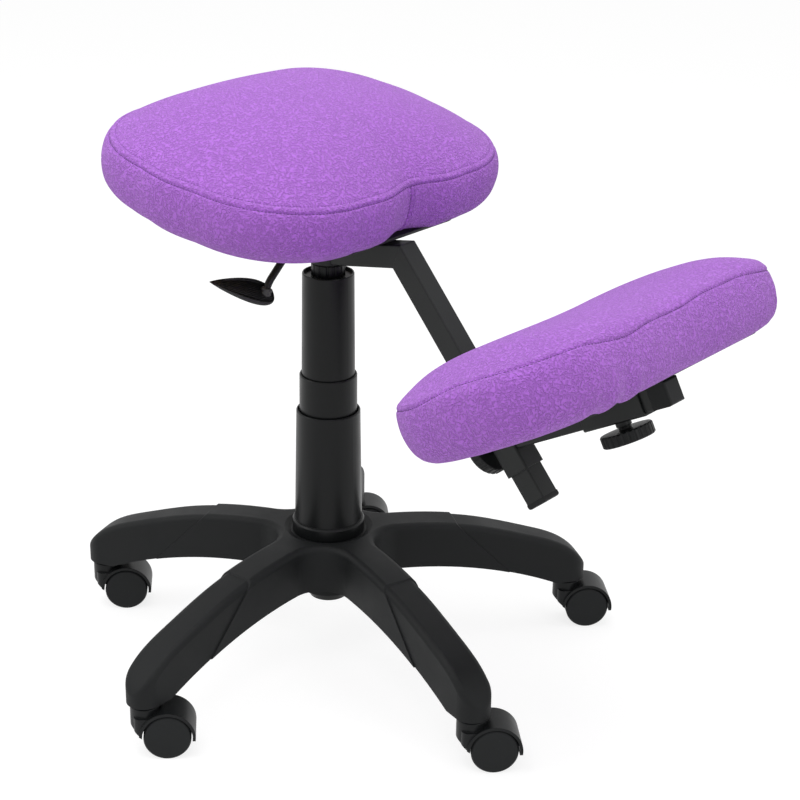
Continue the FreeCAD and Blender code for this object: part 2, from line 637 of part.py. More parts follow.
def lever():
    """Bent rod that presses the valve button, and a leaf-shaped grip on its outer end."""
    z = LEVER_PIVOT.z
    inner_end, first = V(0, 1, z), V(0, -24.5, z)
    bend_mid, second = V(0, -32.5, z - 2.1), V(0, -39, z - 7)
    third, elbow, fourth = V(0, -88, z - 49.5), V(0, -93, z - 54.5), V(0, -96.5, z - 60)
    outer_bend = Part.Arc(third, elbow, fourth)
    down = outer_bend.tangent(outer_bend.LastParameter)[0]
    outer_end = fourth + down * GRIP_DEPTH
    path = Part.Wire([
        Part.makeLine(inner_end, first), Part.Arc(first, bend_mid, second).toShape(),
        Part.makeLine(second, third), outer_bend.toShape(), Part.makeLine(fourth, outer_end)])
    profile = Part.Wire(Part.makeCircle(LEVER_R, inner_end, V(0, 1, 0)))
    bent = path.makePipeShell([profile], True, False)
    pivot_hole = Part.makeCylinder(2.0 + RUN, 30, LEVER_PIVOT + V(-15, 0, 0), V(1, 0, 0))

    root = outer_end - down * 4
    along = GRIP_TIP - root
    length = along.Length
    along.normalize()
    up = V(0, 0, 1) - along * along.z
    up.normalize()
    back, middle, front = -8.0, length * 0.4, length - 2

    def leaf(inset, height):
        """Outline of the grip at a height, drawn in by inset."""
        narrow, wide, point = 8.0 - inset, 12.0 - inset, 4.0 - inset * 0.5
        tip, heel = front + 3.0 - inset, back - 3.0 + inset

        def p(x, y):
            return V(x, y, height)

        return Part.Wire([
            Part.Arc(p(back, -narrow), p(middle, -wide), p(front, -point)).toShape(),
            Part.Arc(p(front, -point), p(tip, 0), p(front, point)).toShape(),
            Part.Arc(p(front, point), p(middle, wide), p(back, narrow)).toShape(),
            Part.Arc(p(back, narrow), p(heel, 0), p(back, -narrow)).toShape()])

    half = GRIP_THICK / 2
    paddle = Part.makeLoft([leaf(1.6, -half), leaf(0, 1.6 - half), leaf(0, half - 1.6), leaf(1.6, half)], True, True)
    paddle = placed(paddle, root, along, up)
    boss = Part.makeCylinder(6.6, GRIP_DEPTH + 1, fourth, down)
    hole = Part.makeCylinder(LEVER_R, GRIP_DEPTH + 2, fourth - down * 2, down)
    return bent.cut(pivot_hole), paddle.fuse(boss).cut(hole)


lever_rod, lever_grip = lever()
save("lever_rod", lever_rod)
save("lever_grip", lever_grip)


# Casters

def wheel(sign):
    """Plastic wheel: closed flat outer face, hollow inside with hub and spokes."""
    w0, w1 = WHEEL_INNER, WHEEL_OUTER
    body = turned([
        (AXLE_R + RUN, w0), (7.5, w0), (7.5, w1 - 3), (21.5, w1 - 3), (21.5, w0), (WHEEL_R - 1, w0),
        (WHEEL_R, w0 + 1), (WHEEL_R, w1 - 1.6), (WHEEL_R - 1.6, w1), (0, w1), (0, w1 - 2.5),
        (AXLE_R + RUN, w1 - 2.5)])
    spokes = []
    for k in range(5):
        spoke = block(7, 22, -1, 1, w0 + 3, w1 - 2.5)
        spoke.rotate(V(0, 0, 0), V(0, 0, 1), 72 * k)
        spokes.append(spoke)
    body = body.fuse(spokes)
    body.rotate(V(0, 0, 0), V(1, 0, 0), -90 * sign)
    body.translate(V(TRAIL, 0, WHEEL_R))
    return body


def hood():
    """Hood with stem housing, fender over both wheels and a middle web for the axle."""
    y = V(0, 1, 0)
    half = WHEEL_OUTER + 0.5

    def drum(radius, y0, y1):
        return Part.makeCylinder(radius, y1 - y0, V(TRAIL, y0, WHEEL_R), y)

    shell = drum(HOOD_R, -half, half)
    housing = rod(STEM_HOUSING_R, WHEEL_R - 3, STEM_HOUSING_TOP)
    housing = housing.makeFillet(1.5, [e for e in housing.Edges if e.BoundBox.ZMin > 56])
    cheek = block(-STEM_HOUSING_R + 4, TRAIL, -half + 2, half - 2, WHEEL_R - 3, WHEEL_R + 22)
    cheek = cheek.makeFillet(8, [e for e in cheek.Edges if e.BoundBox.ZLength > 20 and e.BoundBox.XMax < 0])
    solid = shell.fuse([housing, cheek])
    solid = solid.cut(drum(HOOD_R - HOOD_WALL, WHEEL_INNER - 1.2, half + 10))
    solid = solid.cut(drum(HOOD_R - HOOD_WALL, -half - 10, -WHEEL_INNER + 1.2))
    low = WHEEL_R - 1
    below = Part.makePolygon([
        V(-40, -40, -10), V(-40, -40, low + 22), V(-STEM_HOUSING_R, -40, low + 11), V(-2, -40, low),
        V(TRAIL + 10, -40, low), V(TRAIL + 10, -40, -10), V(-40, -40, -10)])
    solid = solid.cut(Part.Face(below).extrude(V(0, 80, 0)))
    solid = solid.cut(block(TRAIL + 9, 80, -40, 40, -10, WHEEL_R - 4))
    solid = solid.fuse(drum(8.0, -WHEEL_INNER + 1.2, WHEEL_INNER - 1.2))
    solid = solid.fuse(rod(10.5, STEM_HOUSING_TOP - 1, ARM_UNDERSIDE - TOUCH))
    solid = solid.cut(rod(STEM_R, STEM_BOTTOM, 80))
    solid = solid.cut(drum(AXLE_R, -30, 30))
    return solid.removeSplitter()


def pins():
    """Steel stem with its groove and the wheel axle."""
    stem = rod(STEM_R, STEM_BOTTOM, STEM_TOP).cut(ring(STEM_R + 1, STEM_R - 0.8, STEM_TOP - 9, STEM_TOP - 7))
    stem = stem.makeChamfer(1.0, [e for e in stem.Edges if e.BoundBox.ZMin > STEM_TOP - 0.1])
    end = WHEEL_OUTER - 2.8
    axle = Part.makeCylinder(AXLE_R, 2 * end, V(TRAIL, -end, WHEEL_R), V(0, 1, 0))
    return stem, axle


caster = {"caster_hood": [hood()], "wheel_a": [wheel(1)], "wheel_b": [wheel(-1)], "caster_pins": list(pins())}
for k in range(ARM_COUNT):
    a = math.radians(FIRST_ARM + k * 360.0 / ARM_COUNT)
    spot = FreeCAD.Placement(
        V(STEM_RADIUS * math.cos(a), STEM_RADIUS * math.sin(a), 0),
        FreeCAD.Rotation(V(0, 0, 1), TRAIL_ANGLE))
    for name, solids in caster.items():
        copies = []
        for solid in solids:
            copy = solid.copy()
            copy.Placement = spot.multiply(copy.Placement)
            copies.append(copy)
        save(name + "_" + str(k + 1), copies if len(copies) > 1 else copies[0])
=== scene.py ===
"""Looks of a kneeling chair: two upholstered pads, a painted tube frame, a covered gas column and a five-
arm base on twin-wheel casters."""

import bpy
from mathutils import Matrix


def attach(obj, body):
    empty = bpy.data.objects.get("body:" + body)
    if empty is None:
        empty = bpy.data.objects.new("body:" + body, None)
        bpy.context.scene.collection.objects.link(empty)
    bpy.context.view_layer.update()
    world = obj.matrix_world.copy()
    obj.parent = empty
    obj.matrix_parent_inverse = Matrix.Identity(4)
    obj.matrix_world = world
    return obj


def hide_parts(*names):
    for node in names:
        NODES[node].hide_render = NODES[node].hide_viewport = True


bl_info = {
    "name": "Kneeling chair",
    "version": (1, 0, 0),
    "blender": (4, 5, 0),
    "location": "3D View > Sidebar > Kneeling chair",
    "description": "Upholsters, paints and lights a kneeling chair on its construction frame",
    "category": "Object",
}

import math

import bpy
import numpy as np
from mathutils import Matrix, Vector

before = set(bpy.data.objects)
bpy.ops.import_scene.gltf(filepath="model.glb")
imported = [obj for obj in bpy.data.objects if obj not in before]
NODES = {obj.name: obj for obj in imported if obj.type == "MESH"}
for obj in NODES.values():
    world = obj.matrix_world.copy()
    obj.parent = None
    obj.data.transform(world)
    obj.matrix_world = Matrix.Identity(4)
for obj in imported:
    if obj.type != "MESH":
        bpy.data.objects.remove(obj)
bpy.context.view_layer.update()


# Places of the two pads, from the construction: an origin, the pad's forward way and its upward way.


def tilted(origin, degrees):
    """A flat frame turned about the side-to-side way: origin, forward, left and up in metres."""
    turn = math.radians(degrees)
    forward = np.array([math.cos(turn), 0.0, math.sin(turn)])
    up = np.array([-math.sin(turn), 0.0, math.cos(turn)])
    return np.array(origin), forward, np.array([0.0, 1.0, 0.0]), up


SEAT_PLACE = tilted((0.0, 0.0, 0.494), -9.0)
KNEE_PLACE = tilted((0.1087, 0.0, 0.5131), 28.0)

# The lever's rod ends at the grip's root, on its way down; the paddle reaches out to its tip.
GRIP_ROOT = (0.0, -0.09917, 0.45843)
GRIP_TIP = (-0.020, -0.159, 0.4818)
GRIP_DOWN = (0.0, -0.4456, -0.8952)

# The knee pad's front seam wanders: places along the pad, and how far it lies above the side panel's top.
SEAM_PLACES = (-0.183, -0.158, -0.130, -0.093, -0.053, -0.005, 0.048, 0.100, 0.139, 0.171)
SEAM_DRIFT = (0.002, 0.001, -0.0045, -0.009, -0.006, -0.0065, -0.0023, -0.0023, -0.007, -0.0105)

# Folds in the knee pad's front: place along the pad and depth, outwards positive.
GATHERS = ((-0.146, -0.0014), (-0.130, 0.0016), (-0.112, -0.0020), (-0.096, 0.0018), (-0.080, -0.0012))
END_FOLDS = (
    (0.150, -0.0008), (0.158, 0.0009), (0.166, -0.0012),
    (0.173, 0.0010), (0.181, -0.0011), (0.190, 0.0008))

# Relief across each pad's seam: distance from the seam, height outwards and width. The seat's seam has a
# raised strip beside it, which ends at the pale stitches.
STRIP_WIDTH = 0.0085
SEAT_RELIEF = ((0.0, -0.0015, 0.0010), (0.0042, 0.0010, 0.0026), (STRIP_WIDTH, -0.0004, 0.0012))
KNEE_RELIEF = ((0.0, -0.0013, 0.0011), (0.0045, 0.0006, 0.0030))

# Pleat at the seat's front: place along the pad, height outwards and width of each groove or ridge.
PLEAT = ((0.0018, -0.0016, 0.0011), (-0.0005, 0.0014, 0.0016), (-0.0028, -0.0014, 0.0010))

# Recesses for the boards. The seat's lies inside its pad by the rim; the knee pad's has its own half sizes.
SEAT_RECESS = 0.0124
SEAT_RIM = (0.0335, 0.0355)
SEAT_RIM_CORNER = 0.034
KNEE_RECESS = 0.0094
KNEE_BOARD = (0.0725, 0.1655)
KNEE_BOARD_CORNER = 0.030

# Outline of a pad: points in each stretch, share of the straight front that the notch takes, and share of
# the corner's radius at which its arc meets the front.
ARC_STEPS = 60
NOTCH_REACH = 0.62
FRONT_TURN = 0.985

# Underside of a pad, by level from 0 in its middle to 1 at its edge: the board's edge, the end of the step
# round it, and the number of rows of points.
BOARD_EDGE = 0.8
STEP_END = 0.84
UNDER_ROWS = 19

# Cloth: how far a skin swells at most, and the size of the even mesh that it is blown up as.
SWELL_CAP = 0.006
CLOTH_MESH = 0.005

# Sewing: distance from stitch to stitch, length of one, and how far threads lie above the cloth.
STITCH_PITCH = 0.0036
STITCH_LENGTH = 0.0026
SEAM_LIFT = 0.0001
PLEAT_LIFT = 0.0002

# Turned collar of the grip: distance down the rod, and share of the collar's radius.
COLLAR_PROFILE = (
    (-0.0010, 0.72), (-0.0004, 0.92), (0.0020, 1.0), (0.0030, 0.98), (0.0035, 0.88), (0.0060, 0.96),
    (0.0105, 0.60))

# Radius at which the edges of moulded pieces catch the light.
MOULD_EDGE = 0.0008

# Half of the floor's size, and the soft lamps: name, place, size and power. All lamps face one point.
FLOOR_REACH = 12.0
LAMP_AIM = (0.1, 0, 0.4)
LAMPS = (
    ("lamp_above", (0.1, -0.3, 2.6), (2.4, 2.4), 44),
    ("lamp_left", (-1.6, -1.9, 1.5), (1.2, 1.8), 13),
    ("lamp_right", (2.4, -0.2, 1.3), (0.8, 1.8), 8))


# Properties


def metres(name, description, default):
    """Property for a length."""
    return bpy.props.FloatProperty(name=name, description=description, default=default, unit="LENGTH")


def angle(name, description, degrees):
    """Property for an angle."""
    turn = math.radians(degrees)
    return bpy.props.FloatProperty(name=name, description=description, default=turn, subtype="ANGLE")


def tint(name, description, default):
    """Property for a colour."""
    return bpy.props.FloatVectorProperty(
        name=name, description=description, default=default, size=3, min=0, max=1, subtype="COLOR")


class PadSizes(bpy.types.PropertyGroup):
    """Sizes of one upholstered pad."""

    centre: metres("Centre", "Middle of the pad along its forward way", -0.045)
    base: metres("Base", "Underside of the pad above its origin", 0.043)
    half_depth: metres("Half depth", "Half of the size from front to back", 0.161)
    half_width: metres("Half width", "Half of the size from side to side", 0.212)
    corner: metres("Corner", "Radius of the corners seen from above", 0.122)
    band: metres("Band", "Height of the side panel up to the seam", 0.055)
    crown: metres("Crown", "Rise of the top panel above the seam", 0.055)
    roundness: bpy.props.FloatProperty(
        name="Roundness", description="How late the top panel turns down: 2 is a bow, more is flatter",
        default=2.5, min=1)
    notch: metres("Notch", "How far the front edge is drawn in at its middle", 0.013)
    bow: metres("Bow", "How far the other edges bow outwards", 0.005)
    low_inset: metres("Lower inset", "How far the side is drawn in at the bottom", 0.015)
    sag: metres("Sag", "How far the cloth hangs below the underside near its edge", 0.006)
    saddle: metres("Saddle", "How far the ends of the top lie above its middle, halved", 0.0)
    seam_inset: metres("Seam inset", "How far the seam is drawn in", 0.005)


class GripSizes(bpy.types.PropertyGroup):
    """Sizes of the lever's leaf-shaped paddle."""

    half_width: metres("Half width", "Half of the leaf's size across", 0.0155)
    half_thick: metres("Half thickness", "Half of the leaf's thickness", 0.0042)
    dish: metres("Dish", "Depth of the dotted hollow in its upper face", 0.0014)
    roll: angle("Roll", "Turn of the leaf about its own length, outer edge down", 42)
    collar: metres("Collar", "Radius of the collar on the rod's end", 0.0066)


class ChairColours(bpy.types.PropertyGroup):
    """Colours of the finishes."""

    fabric: tint("Fabric", "Colour of the crepe cloth", (0.405, 0.138, 0.635))
    plastic: tint("Plastic", "Colour of the moulded plastic", (0.0068, 0.0076, 0.0080))
    paint: tint("Paint", "Colour of the powder paint", (0.0080, 0.0092, 0.0090))
    wood: tint("Wood", "Colour of the plywood boards", (0.46, 0.31, 0.17))


class StageSettings(bpy.types.PropertyGroup):
    """Camera and lamps."""

    lens: bpy.props.FloatProperty(name="Lens", description="Focal length on a 36 mm sensor", default=85.68)
    camera_place: bpy.props.FloatVectorProperty(
        name="Camera place", description="Where the camera stands",
        default=(1.2877, -1.4648, 1.0967), size=3, unit="LENGTH")
    heading: angle("Heading", "Turn of the camera about the upright", 38.996)
    dip: angle("Dip", "How far the camera looks down", 21.964)
    roll: angle("Roll", "Turn of the camera about its own line of sight", 0.807)
    sky: bpy.props.FloatProperty(
        name="Sky", description="Strength of the even light from all round", default=0.55, min=0)


# Mesh making


def smooth_steps(x, knots, values):
    """Curve through the given values with no overshoot: a cubic between each two knots, whose slope at a
    knot is the harmonic mean of its neighbours' slopes."""
    knots, values = np.asarray(knots, float), np.asarray(values, float)
    step = np.diff(knots)
    slope = np.diff(values) / step
    before, after = slope[:-1], slope[1:]
    inner = np.where(before * after > 0, 2 * before * after / (before + after + 1e-30), 0.0)
    tangent = np.concatenate([[slope[0]], inner, [slope[-1]]])
    i = np.clip(np.searchsorted(knots, x, side="right") - 1, 0, len(step) - 1)
    t = (x - knots[i]) / step[i]
    a, b = values[i], values[i + 1]
    ta, tb = tangent[i] * step[i], tangent[i + 1] * step[i]
    return (
        a * (1 + 2 * t) * (1 - t) ** 2 + ta * t * (1 - t) ** 2
        + b * t * t * (3 - 2 * t) + tb * t * t * (t - 1))


def mesh_object(name, verts, faces, smooth=True):
    """Puts arrays of points and faces into a new object at the origin."""
    mesh = bpy.data.meshes.new(name)
    mesh.from_pydata(np.asarray(verts, float).tolist(), [], [list(f) for f in faces])
    mesh.update()
    mesh.polygons.foreach_set("use_smooth", np.full(len(mesh.polygons), smooth))
    obj = bpy.data.objects.new(name, mesh)
    bpy.context.scene.collection.objects.link(obj)
    return obj


def grid_faces(rows, around, start=0, closed=True):
    """Quads of a grid of rows by columns, whose last column joins the first when closed."""
    r = np.arange(rows - 1)[:, None]
    c = np.arange(around if closed else around - 1)[None, :]
    n = (c + 1) % around
    quads = np.stack([r * around + c, r * around + n, (r + 1) * around + n, (r + 1) * around + c], axis=-1)
    return start + quads.reshape(-1, 4)


def closed_surface(name, points):
    """Closed skin from a grid of points whose first and last rows shrink to poles: each pole is a fan to
    the row's mean point."""
    rows, around, _ = points.shape
    low, high = points[0].mean(axis=0), points[-1].mean(axis=0)
    verts = np.concatenate([points.reshape(-1, 3), [low, high]])
    faces = grid_faces(rows, around).tolist()
    c = np.arange(around)
    n = (c + 1) % around
    faces += np.stack([n, c, np.full(around, rows * around)], axis=-1).tolist()
    top = (rows - 1) * around
    faces += np.stack([top + c, top + n, np.full(around, rows * around + 1)], axis=-1).tolist()
    return mesh_object(name, verts, faces)


def face_outwards(obj):
    """Turns every face of a closed mesh outwards: the signed volume of its faces decides."""
    mesh = obj.data
    volume = sum(Vector(f.center).dot(f.normal) * f.area for f in mesh.polygons)
    if volume < 0:
        mesh.flip_normals()


def grid_normals(points):
    """Unit normals of a closed grid: the cross product of its differences along the columns and along the
    rows."""
    along = np.roll(points, -1, axis=1) - np.roll(points, 1, axis=1)
    up = np.gradient(points, axis=0)
    normal = np.cross(along, up)
    return normal / (np.linalg.norm(normal, axis=-1, keepdims=True) + 1e-12)


# The pads


def arc_points(start, middle, end, count):
    """Points of the circle through three points, from the first to the last, at equal angles."""
    (ax, ay), (bx, by), (cx, cy) = start, middle, end
    d = 2 * (ax * (by - cy) + bx * (cy - ay) + cx * (ay - by))
    ux = ((ax**2 + ay**2) * (by - cy) + (bx**2 + by**2) * (cy - ay) + (cx**2 + cy**2) * (ay - by)) / d
    uy = ((ax**2 + ay**2) * (cx - bx) + (bx**2 + by**2) * (ax - cx) + (cx**2 + cy**2) * (bx - ax)) / d
    r = math.hypot(ax - ux, ay - uy)
    a0, a1, a2 = (math.atan2(y - uy, x - ux) for x, y in (start, middle, end))
    sweep = (a2 - a0) % (2 * math.pi)
    if (a1 - a0) % (2 * math.pi) > sweep:
        sweep -= 2 * math.pi
    t = np.linspace(0, 1, count, endpoint=False)
    return np.stack([ux + r * np.cos(a0 + sweep * t), uy + r * np.sin(a0 + sweep * t)], axis=-1)


def pad_outline(half, corner, notch, bow, share):
    """Outline of a pad from above: bowed sides joined by round corners, and a front edge that dips in at
    its middle as a squared cosine. Points are taken at the given shares of its length, from the front's
    middle towards the left."""
    a, b = half
    ax, by = a - corner, b - corner
    k = corner * math.sqrt(0.5)
    tip = ax + corner * FRONT_TURN
    y = np.linspace(0, by, ARC_STEPS, endpoint=False)
    v = y / max(by, 1e-9)
    dip = notch * np.cos(np.clip(v / NOTCH_REACH, 0, 1) * math.pi / 2) ** 2
    turn = (a - tip) * np.clip((v - NOTCH_REACH) / (1 - NOTCH_REACH), 0, 1) ** 2
    left = np.concatenate([
        np.stack([a - dip - turn, y], axis=-1),
        arc_points((tip, by), (ax + k, by + k), (ax, b), ARC_STEPS),
        arc_points((ax, b), (0, b + bow), (-ax, b), ARC_STEPS),
        arc_points((-ax, b), (-ax - k, by + k), (-a, by), ARC_STEPS),
        arc_points((-a, by), (-a - bow, 0), (-a, -by), ARC_STEPS)[:ARC_STEPS // 2]])
    right = left[1:][::-1] * np.array([1, -1])
    ring = np.concatenate([left, [[-a - bow, 0]], right])
    closed = np.concatenate([ring, ring[:1]])
    length = np.concatenate([[0], np.cumsum(np.hypot(*np.diff(closed, axis=0).T))])
    want = share * length[-1]
    return np.stack([np.interp(want, length, closed[:, 0]), np.interp(want, length, closed[:, 1])], axis=-1)


def fine_columns(count, tight=0.02, extra=60):
    """Shares round a pad, evenly spaced, with more of them on both sides of the front's middle."""
    even = np.arange(count) / count
    near = np.linspace(-tight, tight, extra)
    return np.unique(np.round(np.concatenate([even, near % 1.0]), 6))


def ripple(phase, seed, waves, low, high):
    """Uneven wave round a pad: a sum of sines whose numbers of turns and phases are drawn once from the
    seed."""
    draw = np.random.default_rng(seed)
    turns = draw.integers(low, high, waves)
    shift = draw.uniform(0, 2 * math.pi, waves)
    size = draw.uniform(0.4, 1.0, waves)
    wave = np.sin(2 * math.pi * turns[:, None] * phase[None, :] + shift[:, None])
    return (size[:, None] * wave).sum(axis=0) / size.sum()


def pad_rows():
    """Levels of a pad's skin from the middle below to the middle above. 0 to 1 is the underside, 1 to 2 the
    side panel, 2 to 3 the top panel, with close rows at the seam."""
    board = np.linspace(0.04, BOARD_EDGE, 10)
    edge = np.linspace(STEP_END, 1.0, UNDER_ROWS - len(board))
    side = 1 + np.concatenate([np.linspace(0.02, 0.84, 30), np.linspace(0.86, 1.0, 12)])
    seam = 2 + np.linspace(0.004, 0.10, 24)
    top = 2 + np.linspace(0.115, 0.985, 44)
    return np.concatenate([board, edge, side, seam, top])


def pad_grid(size, rows, shares, board, recess):
    """Bare skin of a pad in its own frame, by level and share round it. Side: the outline moved inwards by
    an amount that depends on the height. Top: the seam's outline shrunk by a share s, at the band's
    height plus the crown times one minus s to the power of the roundness, with its ends lifted by the
    saddle. Underside: a step up round the board's outline, and cloth that sags between it and the edge."""
    half = np.array([size.half_depth, size.half_width])
    low, high = size.low_inset, size.seam_inset
    points = np.empty((len(rows), len(shares), 3))
    knots = np.array([0, 0.10, 0.30, 0.60, 0.85, 1.0])
    insets = np.array([low, low * 0.55, low * 0.14, 0.0, high * 0.35, high])
    pulls = np.array([1, 1, 1, 1, 0.9, 0.75])
    for i, level in enumerate(rows):
        if level <= 1:
            inset = low + 0.0005
            edge = pad_outline(half - inset, size.corner - inset * 0.5, size.notch, size.bow, shares)
            wide = max(0.0, (level - STEP_END) / 0.16)
            step = recess * (1 - min(1.0, max(0.0, (level - BOARD_EDGE) / 0.04)))
            points[i, :, :2] = board * min(1.0, level / BOARD_EDGE) * (1 - wide) + edge * wide
            points[i, :, 2] = step - size.sag * math.sin(math.pi * wide)
        elif level <= 2:
            h = level - 1
            inset = float(smooth_steps(np.array([h]), knots, insets)[0])
            pull = float(smooth_steps(np.array([h]), knots, pulls)[0])
            corner = size.corner - inset * 0.5
            points[i, :, :2] = pad_outline(half - inset, corner, size.notch * pull, size.bow, shares)
            points[i, :, 2] = size.band * h
        else:
            s = 3 - level
            corner = (size.corner - high * 0.5) * s
            notch = size.notch * pulls[-1] * s**3
            edge = pad_outline((half - high) * s, corner, notch, size.bow * s, shares)
            ends = 2 * np.clip(abs(edge[:, 1]) / (0.7 * size.half_width), 0, 1) ** 2 - 1
            lift = size.saddle * ends * min(1.0, (1 - s) / 0.3)
            points[i, :, :2] = edge
            points[i, :, 2] = size.band + size.crown * (1 - s**size.roundness) + lift
    return points


def to_world(points, place, centre, base):
    """Moves points from a pad's own frame to the chair's."""
    origin, forward, left, up = place
    ahead, above = points[..., :1] + centre, points[..., 2:] + base
    return origin + ahead * forward + points[..., 1:2] * left + above * up


def vertex_array(mesh):
    """Points of a mesh as rows of an array."""
    flat = np.empty(len(mesh.vertices) * 3)
    mesh.vertices.foreach_get("co", flat)
    return flat.reshape(-1, 3)


def evaluated_array(obj):
    """Points of an object with its modifiers worked out."""
    shown = obj.evaluated_get(bpy.context.evaluated_depsgraph_get())
    mesh = shown.to_mesh()
    points = vertex_array(mesh)
    shown.to_mesh_clear()
    return points


def swell(skin, band, slack):
    """Blows a pad's skin up like cloth over foam. A copy, drawn in by the slack except at the seam, is
    remeshed evenly and takes air pressure as cloth that is held at the seam and below, each point moving
    by the cap at most. The skin's rows from the side panel up are then laid on the swollen cloth."""
    rows = skin.shape[0]
    seam = int(np.argmin(abs(skin[:, 0, 2] - band) + (np.arange(rows) < rows // 3)))
    inwards = slack * (1 - bump_line(row_distance(skin, seam), 0.012))
    form = closed_surface("cloth_form", skin - grid_normals(skin) * inwards[..., None])
    form.data.remesh_voxel_size = CLOTH_MESH
    bpy.context.view_layer.objects.active = form
    form.select_set(True)
    bpy.ops.object.voxel_remesh()
    start = vertex_array(form.data)
    height = start[:, 2]
    at_seam = abs(height - band) < 0.0035
    under = (height < 0.004) | ((height < 0.02) & (abs(start[:, 0]) < 0.06))
    held = np.flatnonzero(at_seam | under)
    form.vertex_groups.new(name="held").add(held.tolist(), 1.0, "REPLACE")
    cloth = form.modifiers.new("cloth", "CLOTH")
    cloth.settings.quality = 5
    cloth.settings.mass = 0.3
    cloth.settings.use_pressure = True
    cloth.settings.uniform_pressure_force = 4.0
    cloth.settings.effector_weights.gravity = 0.0
    cloth.settings.vertex_group_mass = "held"
    cloth.collision_settings.use_collision = False
    for number in range(1, 21):
        bpy.context.scene.frame_set(number)
    move = evaluated_array(form) - start
    length = np.linalg.norm(move, axis=1, keepdims=True)
    form.modifiers.remove(cloth)
    bpy.context.scene.frame_set(1)
    part = np.minimum(1, SWELL_CAP / np.maximum(length, 1e-9))
    form.data.vertices.foreach_set("co", (start + move * part).ravel())
    even = form.modifiers.new("even", "SMOOTH")
    even.iterations = 3
    finer = form.modifiers.new("finer", "SUBSURF")
    finer.levels = finer.render_levels = 1
    cover = mesh_object("cloth_cover", skin.reshape(-1, 3), grid_faces(rows, skin.shape[1]).tolist())
    wrap = cover.modifiers.new("wrap", "SHRINKWRAP")
    wrap.target, wrap.wrap_method = form, "NEAREST_SURFACEPOINT"
    laid = evaluated_array(cover).reshape(skin.shape)
    for scrap in (cover, form):
        bpy.data.objects.remove(scrap)
    above = (np.arange(rows) >= UNDER_ROWS)[:, None, None]
    share = np.clip((skin[:, :, 2:] - 0.004) / 0.012, 0, 1) * above
    return skin + (laid - skin) * share


def stitches(name, line, normal, radius, closed):
    """Row of sewn stitches on a line: each is a short rounded thread of five rings with five points, whose
    radius follows the square root of one minus t squared along the line's own way."""
    if closed:
        line, normal = np.concatenate([line, line[:1]]), np.concatenate([normal, normal[:1]])
    run = np.concatenate([[0], np.cumsum(np.linalg.norm(np.diff(line, axis=0), axis=1))])
    count = int(run[-1] / STITCH_PITCH)
    at = (np.arange(count) + 0.5) * run[-1] / count
    centre, ahead, up = (
        np.stack([np.interp(at + d, run, a[:, k]) for k in range(3)], axis=-1)
        for d, a in ((0, line), (0.0005, line), (0, normal)))
    ahead = ahead - centre
    ahead /= np.linalg.norm(ahead, axis=1, keepdims=True)
    side = np.cross(up, ahead)
    t = np.array([-0.98, -0.6, 0.0, 0.6, 0.98])
    a = np.arange(5) * 2 * math.pi / 5
    reach = radius * np.sqrt(1 - t**2)
    local = np.stack([
        np.repeat(t * STITCH_LENGTH / 2, 5),
        np.outer(reach, np.cos(a)).ravel(),
        np.outer(reach, np.sin(a)).ravel() + np.repeat((1 - t**2) * radius * 0.5, 5)], axis=-1)
    x, y, z = (local[None, :, k:k + 1] for k in range(3))
    points = centre[:, None] + x * ahead[:, None] + y * side[:, None] + z * up[:, None]
    one = grid_faces(5, 5)
    caps = np.array([[4, 3, 2, 1, 0], [20, 21, 22, 23, 24]])
    shift = (np.arange(count) * 25)[:, None, None]
    faces = (one[None] + shift).reshape(-1, 4).tolist() + (caps[None] + shift).reshape(-1, 5).tolist()
    return mesh_object(name, points.reshape(-1, 3), faces)


def bump_line(distance, width):
    """Round-bottomed dip of depth one: the bell curve of distance over width."""
    return np.exp(-((distance / width) ** 2))


def row_distance(points, level_row):
    """Distance along each column from a given row, below it negative: the steps between rows added up."""
    step = np.linalg.norm(np.diff(points, axis=0), axis=-1)
    run = np.concatenate([np.zeros((1, points.shape[1])), np.cumsum(step, axis=0)])
    return run - run[level_row]


def soften(skin, run, spread, reach):
    """Rounds the edge at the seam. Each column is taken at even steps from the seam and averaged with bell-
    curve weights of the given spread. The result is blended in near the seam, out to the reach."""
    step = spread / 4
    near, far = 12, 40
    even = np.arange(-far, far + 1) * step
    weight = bump_line(np.arange(-near, near + 1) * step, spread)
    weight /= weight.sum()
    out = skin.copy()
    share = bump_line(run, reach)
    for j in range(skin.shape[1]):
        for k in range(3):
            line = np.interp(even, run[:, j], skin[:, j, k])
            mean = np.convolve(np.pad(line, near, mode="edge"), weight, mode="valid")
            out[:, j, k] += (np.interp(run[:, j], even, mean) - skin[:, j, k]) * share[:, j]
    return out


def level_line(points, run, at):
    """Points of a skin at a distance from its seam, one in each column, between the two rows beside it."""
    at = np.broadcast_to(at, run.shape[1:])
    column = np.arange(run.shape[1])
    low = (run < at).sum(axis=0) - 1
    share = (at - run[low, column]) / (run[low + 1, column] - run[low, column])
    return points[low, column] + (points[low + 1, column] - points[low, column]) * share[:, None]


def folds(across, height, spots, width, middle, reach):
    """Small upright folds: bell curves across at each spot, given as place and depth, that fade above and
    below the middle height."""
    total = sum(depth * bump_line(across - place, width) for place, depth in spots)
    return total * bump_line(height - middle, reach)


def rounded_skin(size, rows, shares, board, recess, slack, spread, reach):
    """Swollen skin of a pad with a rounded edge at the seam, each point's distance from the seam, and the
    number of the seam's row."""
    skin = pad_grid(size, rows, shares, board, recess)
    skin = swell(skin, size.band, slack)
    seam = int(np.argmin(abs(rows - 2.0)))
    skin = soften(skin, row_distance(skin, seam), spread, reach)
    return skin, row_distance(skin, seam), seam


def sew(name, line, normal, place, size, body, material, radius=0.00032, closed=True):
    """Puts a row of stitches on a pad's skin and lets it move with the pad."""
    up = to_world(normal, place, 0, 0) - place[0]
    thread = stitches(name, to_world(line, place, size.centre, size.base), up, radius, closed)
    thread.data.materials.append(material)
    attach(thread, body)


# Shader helpers


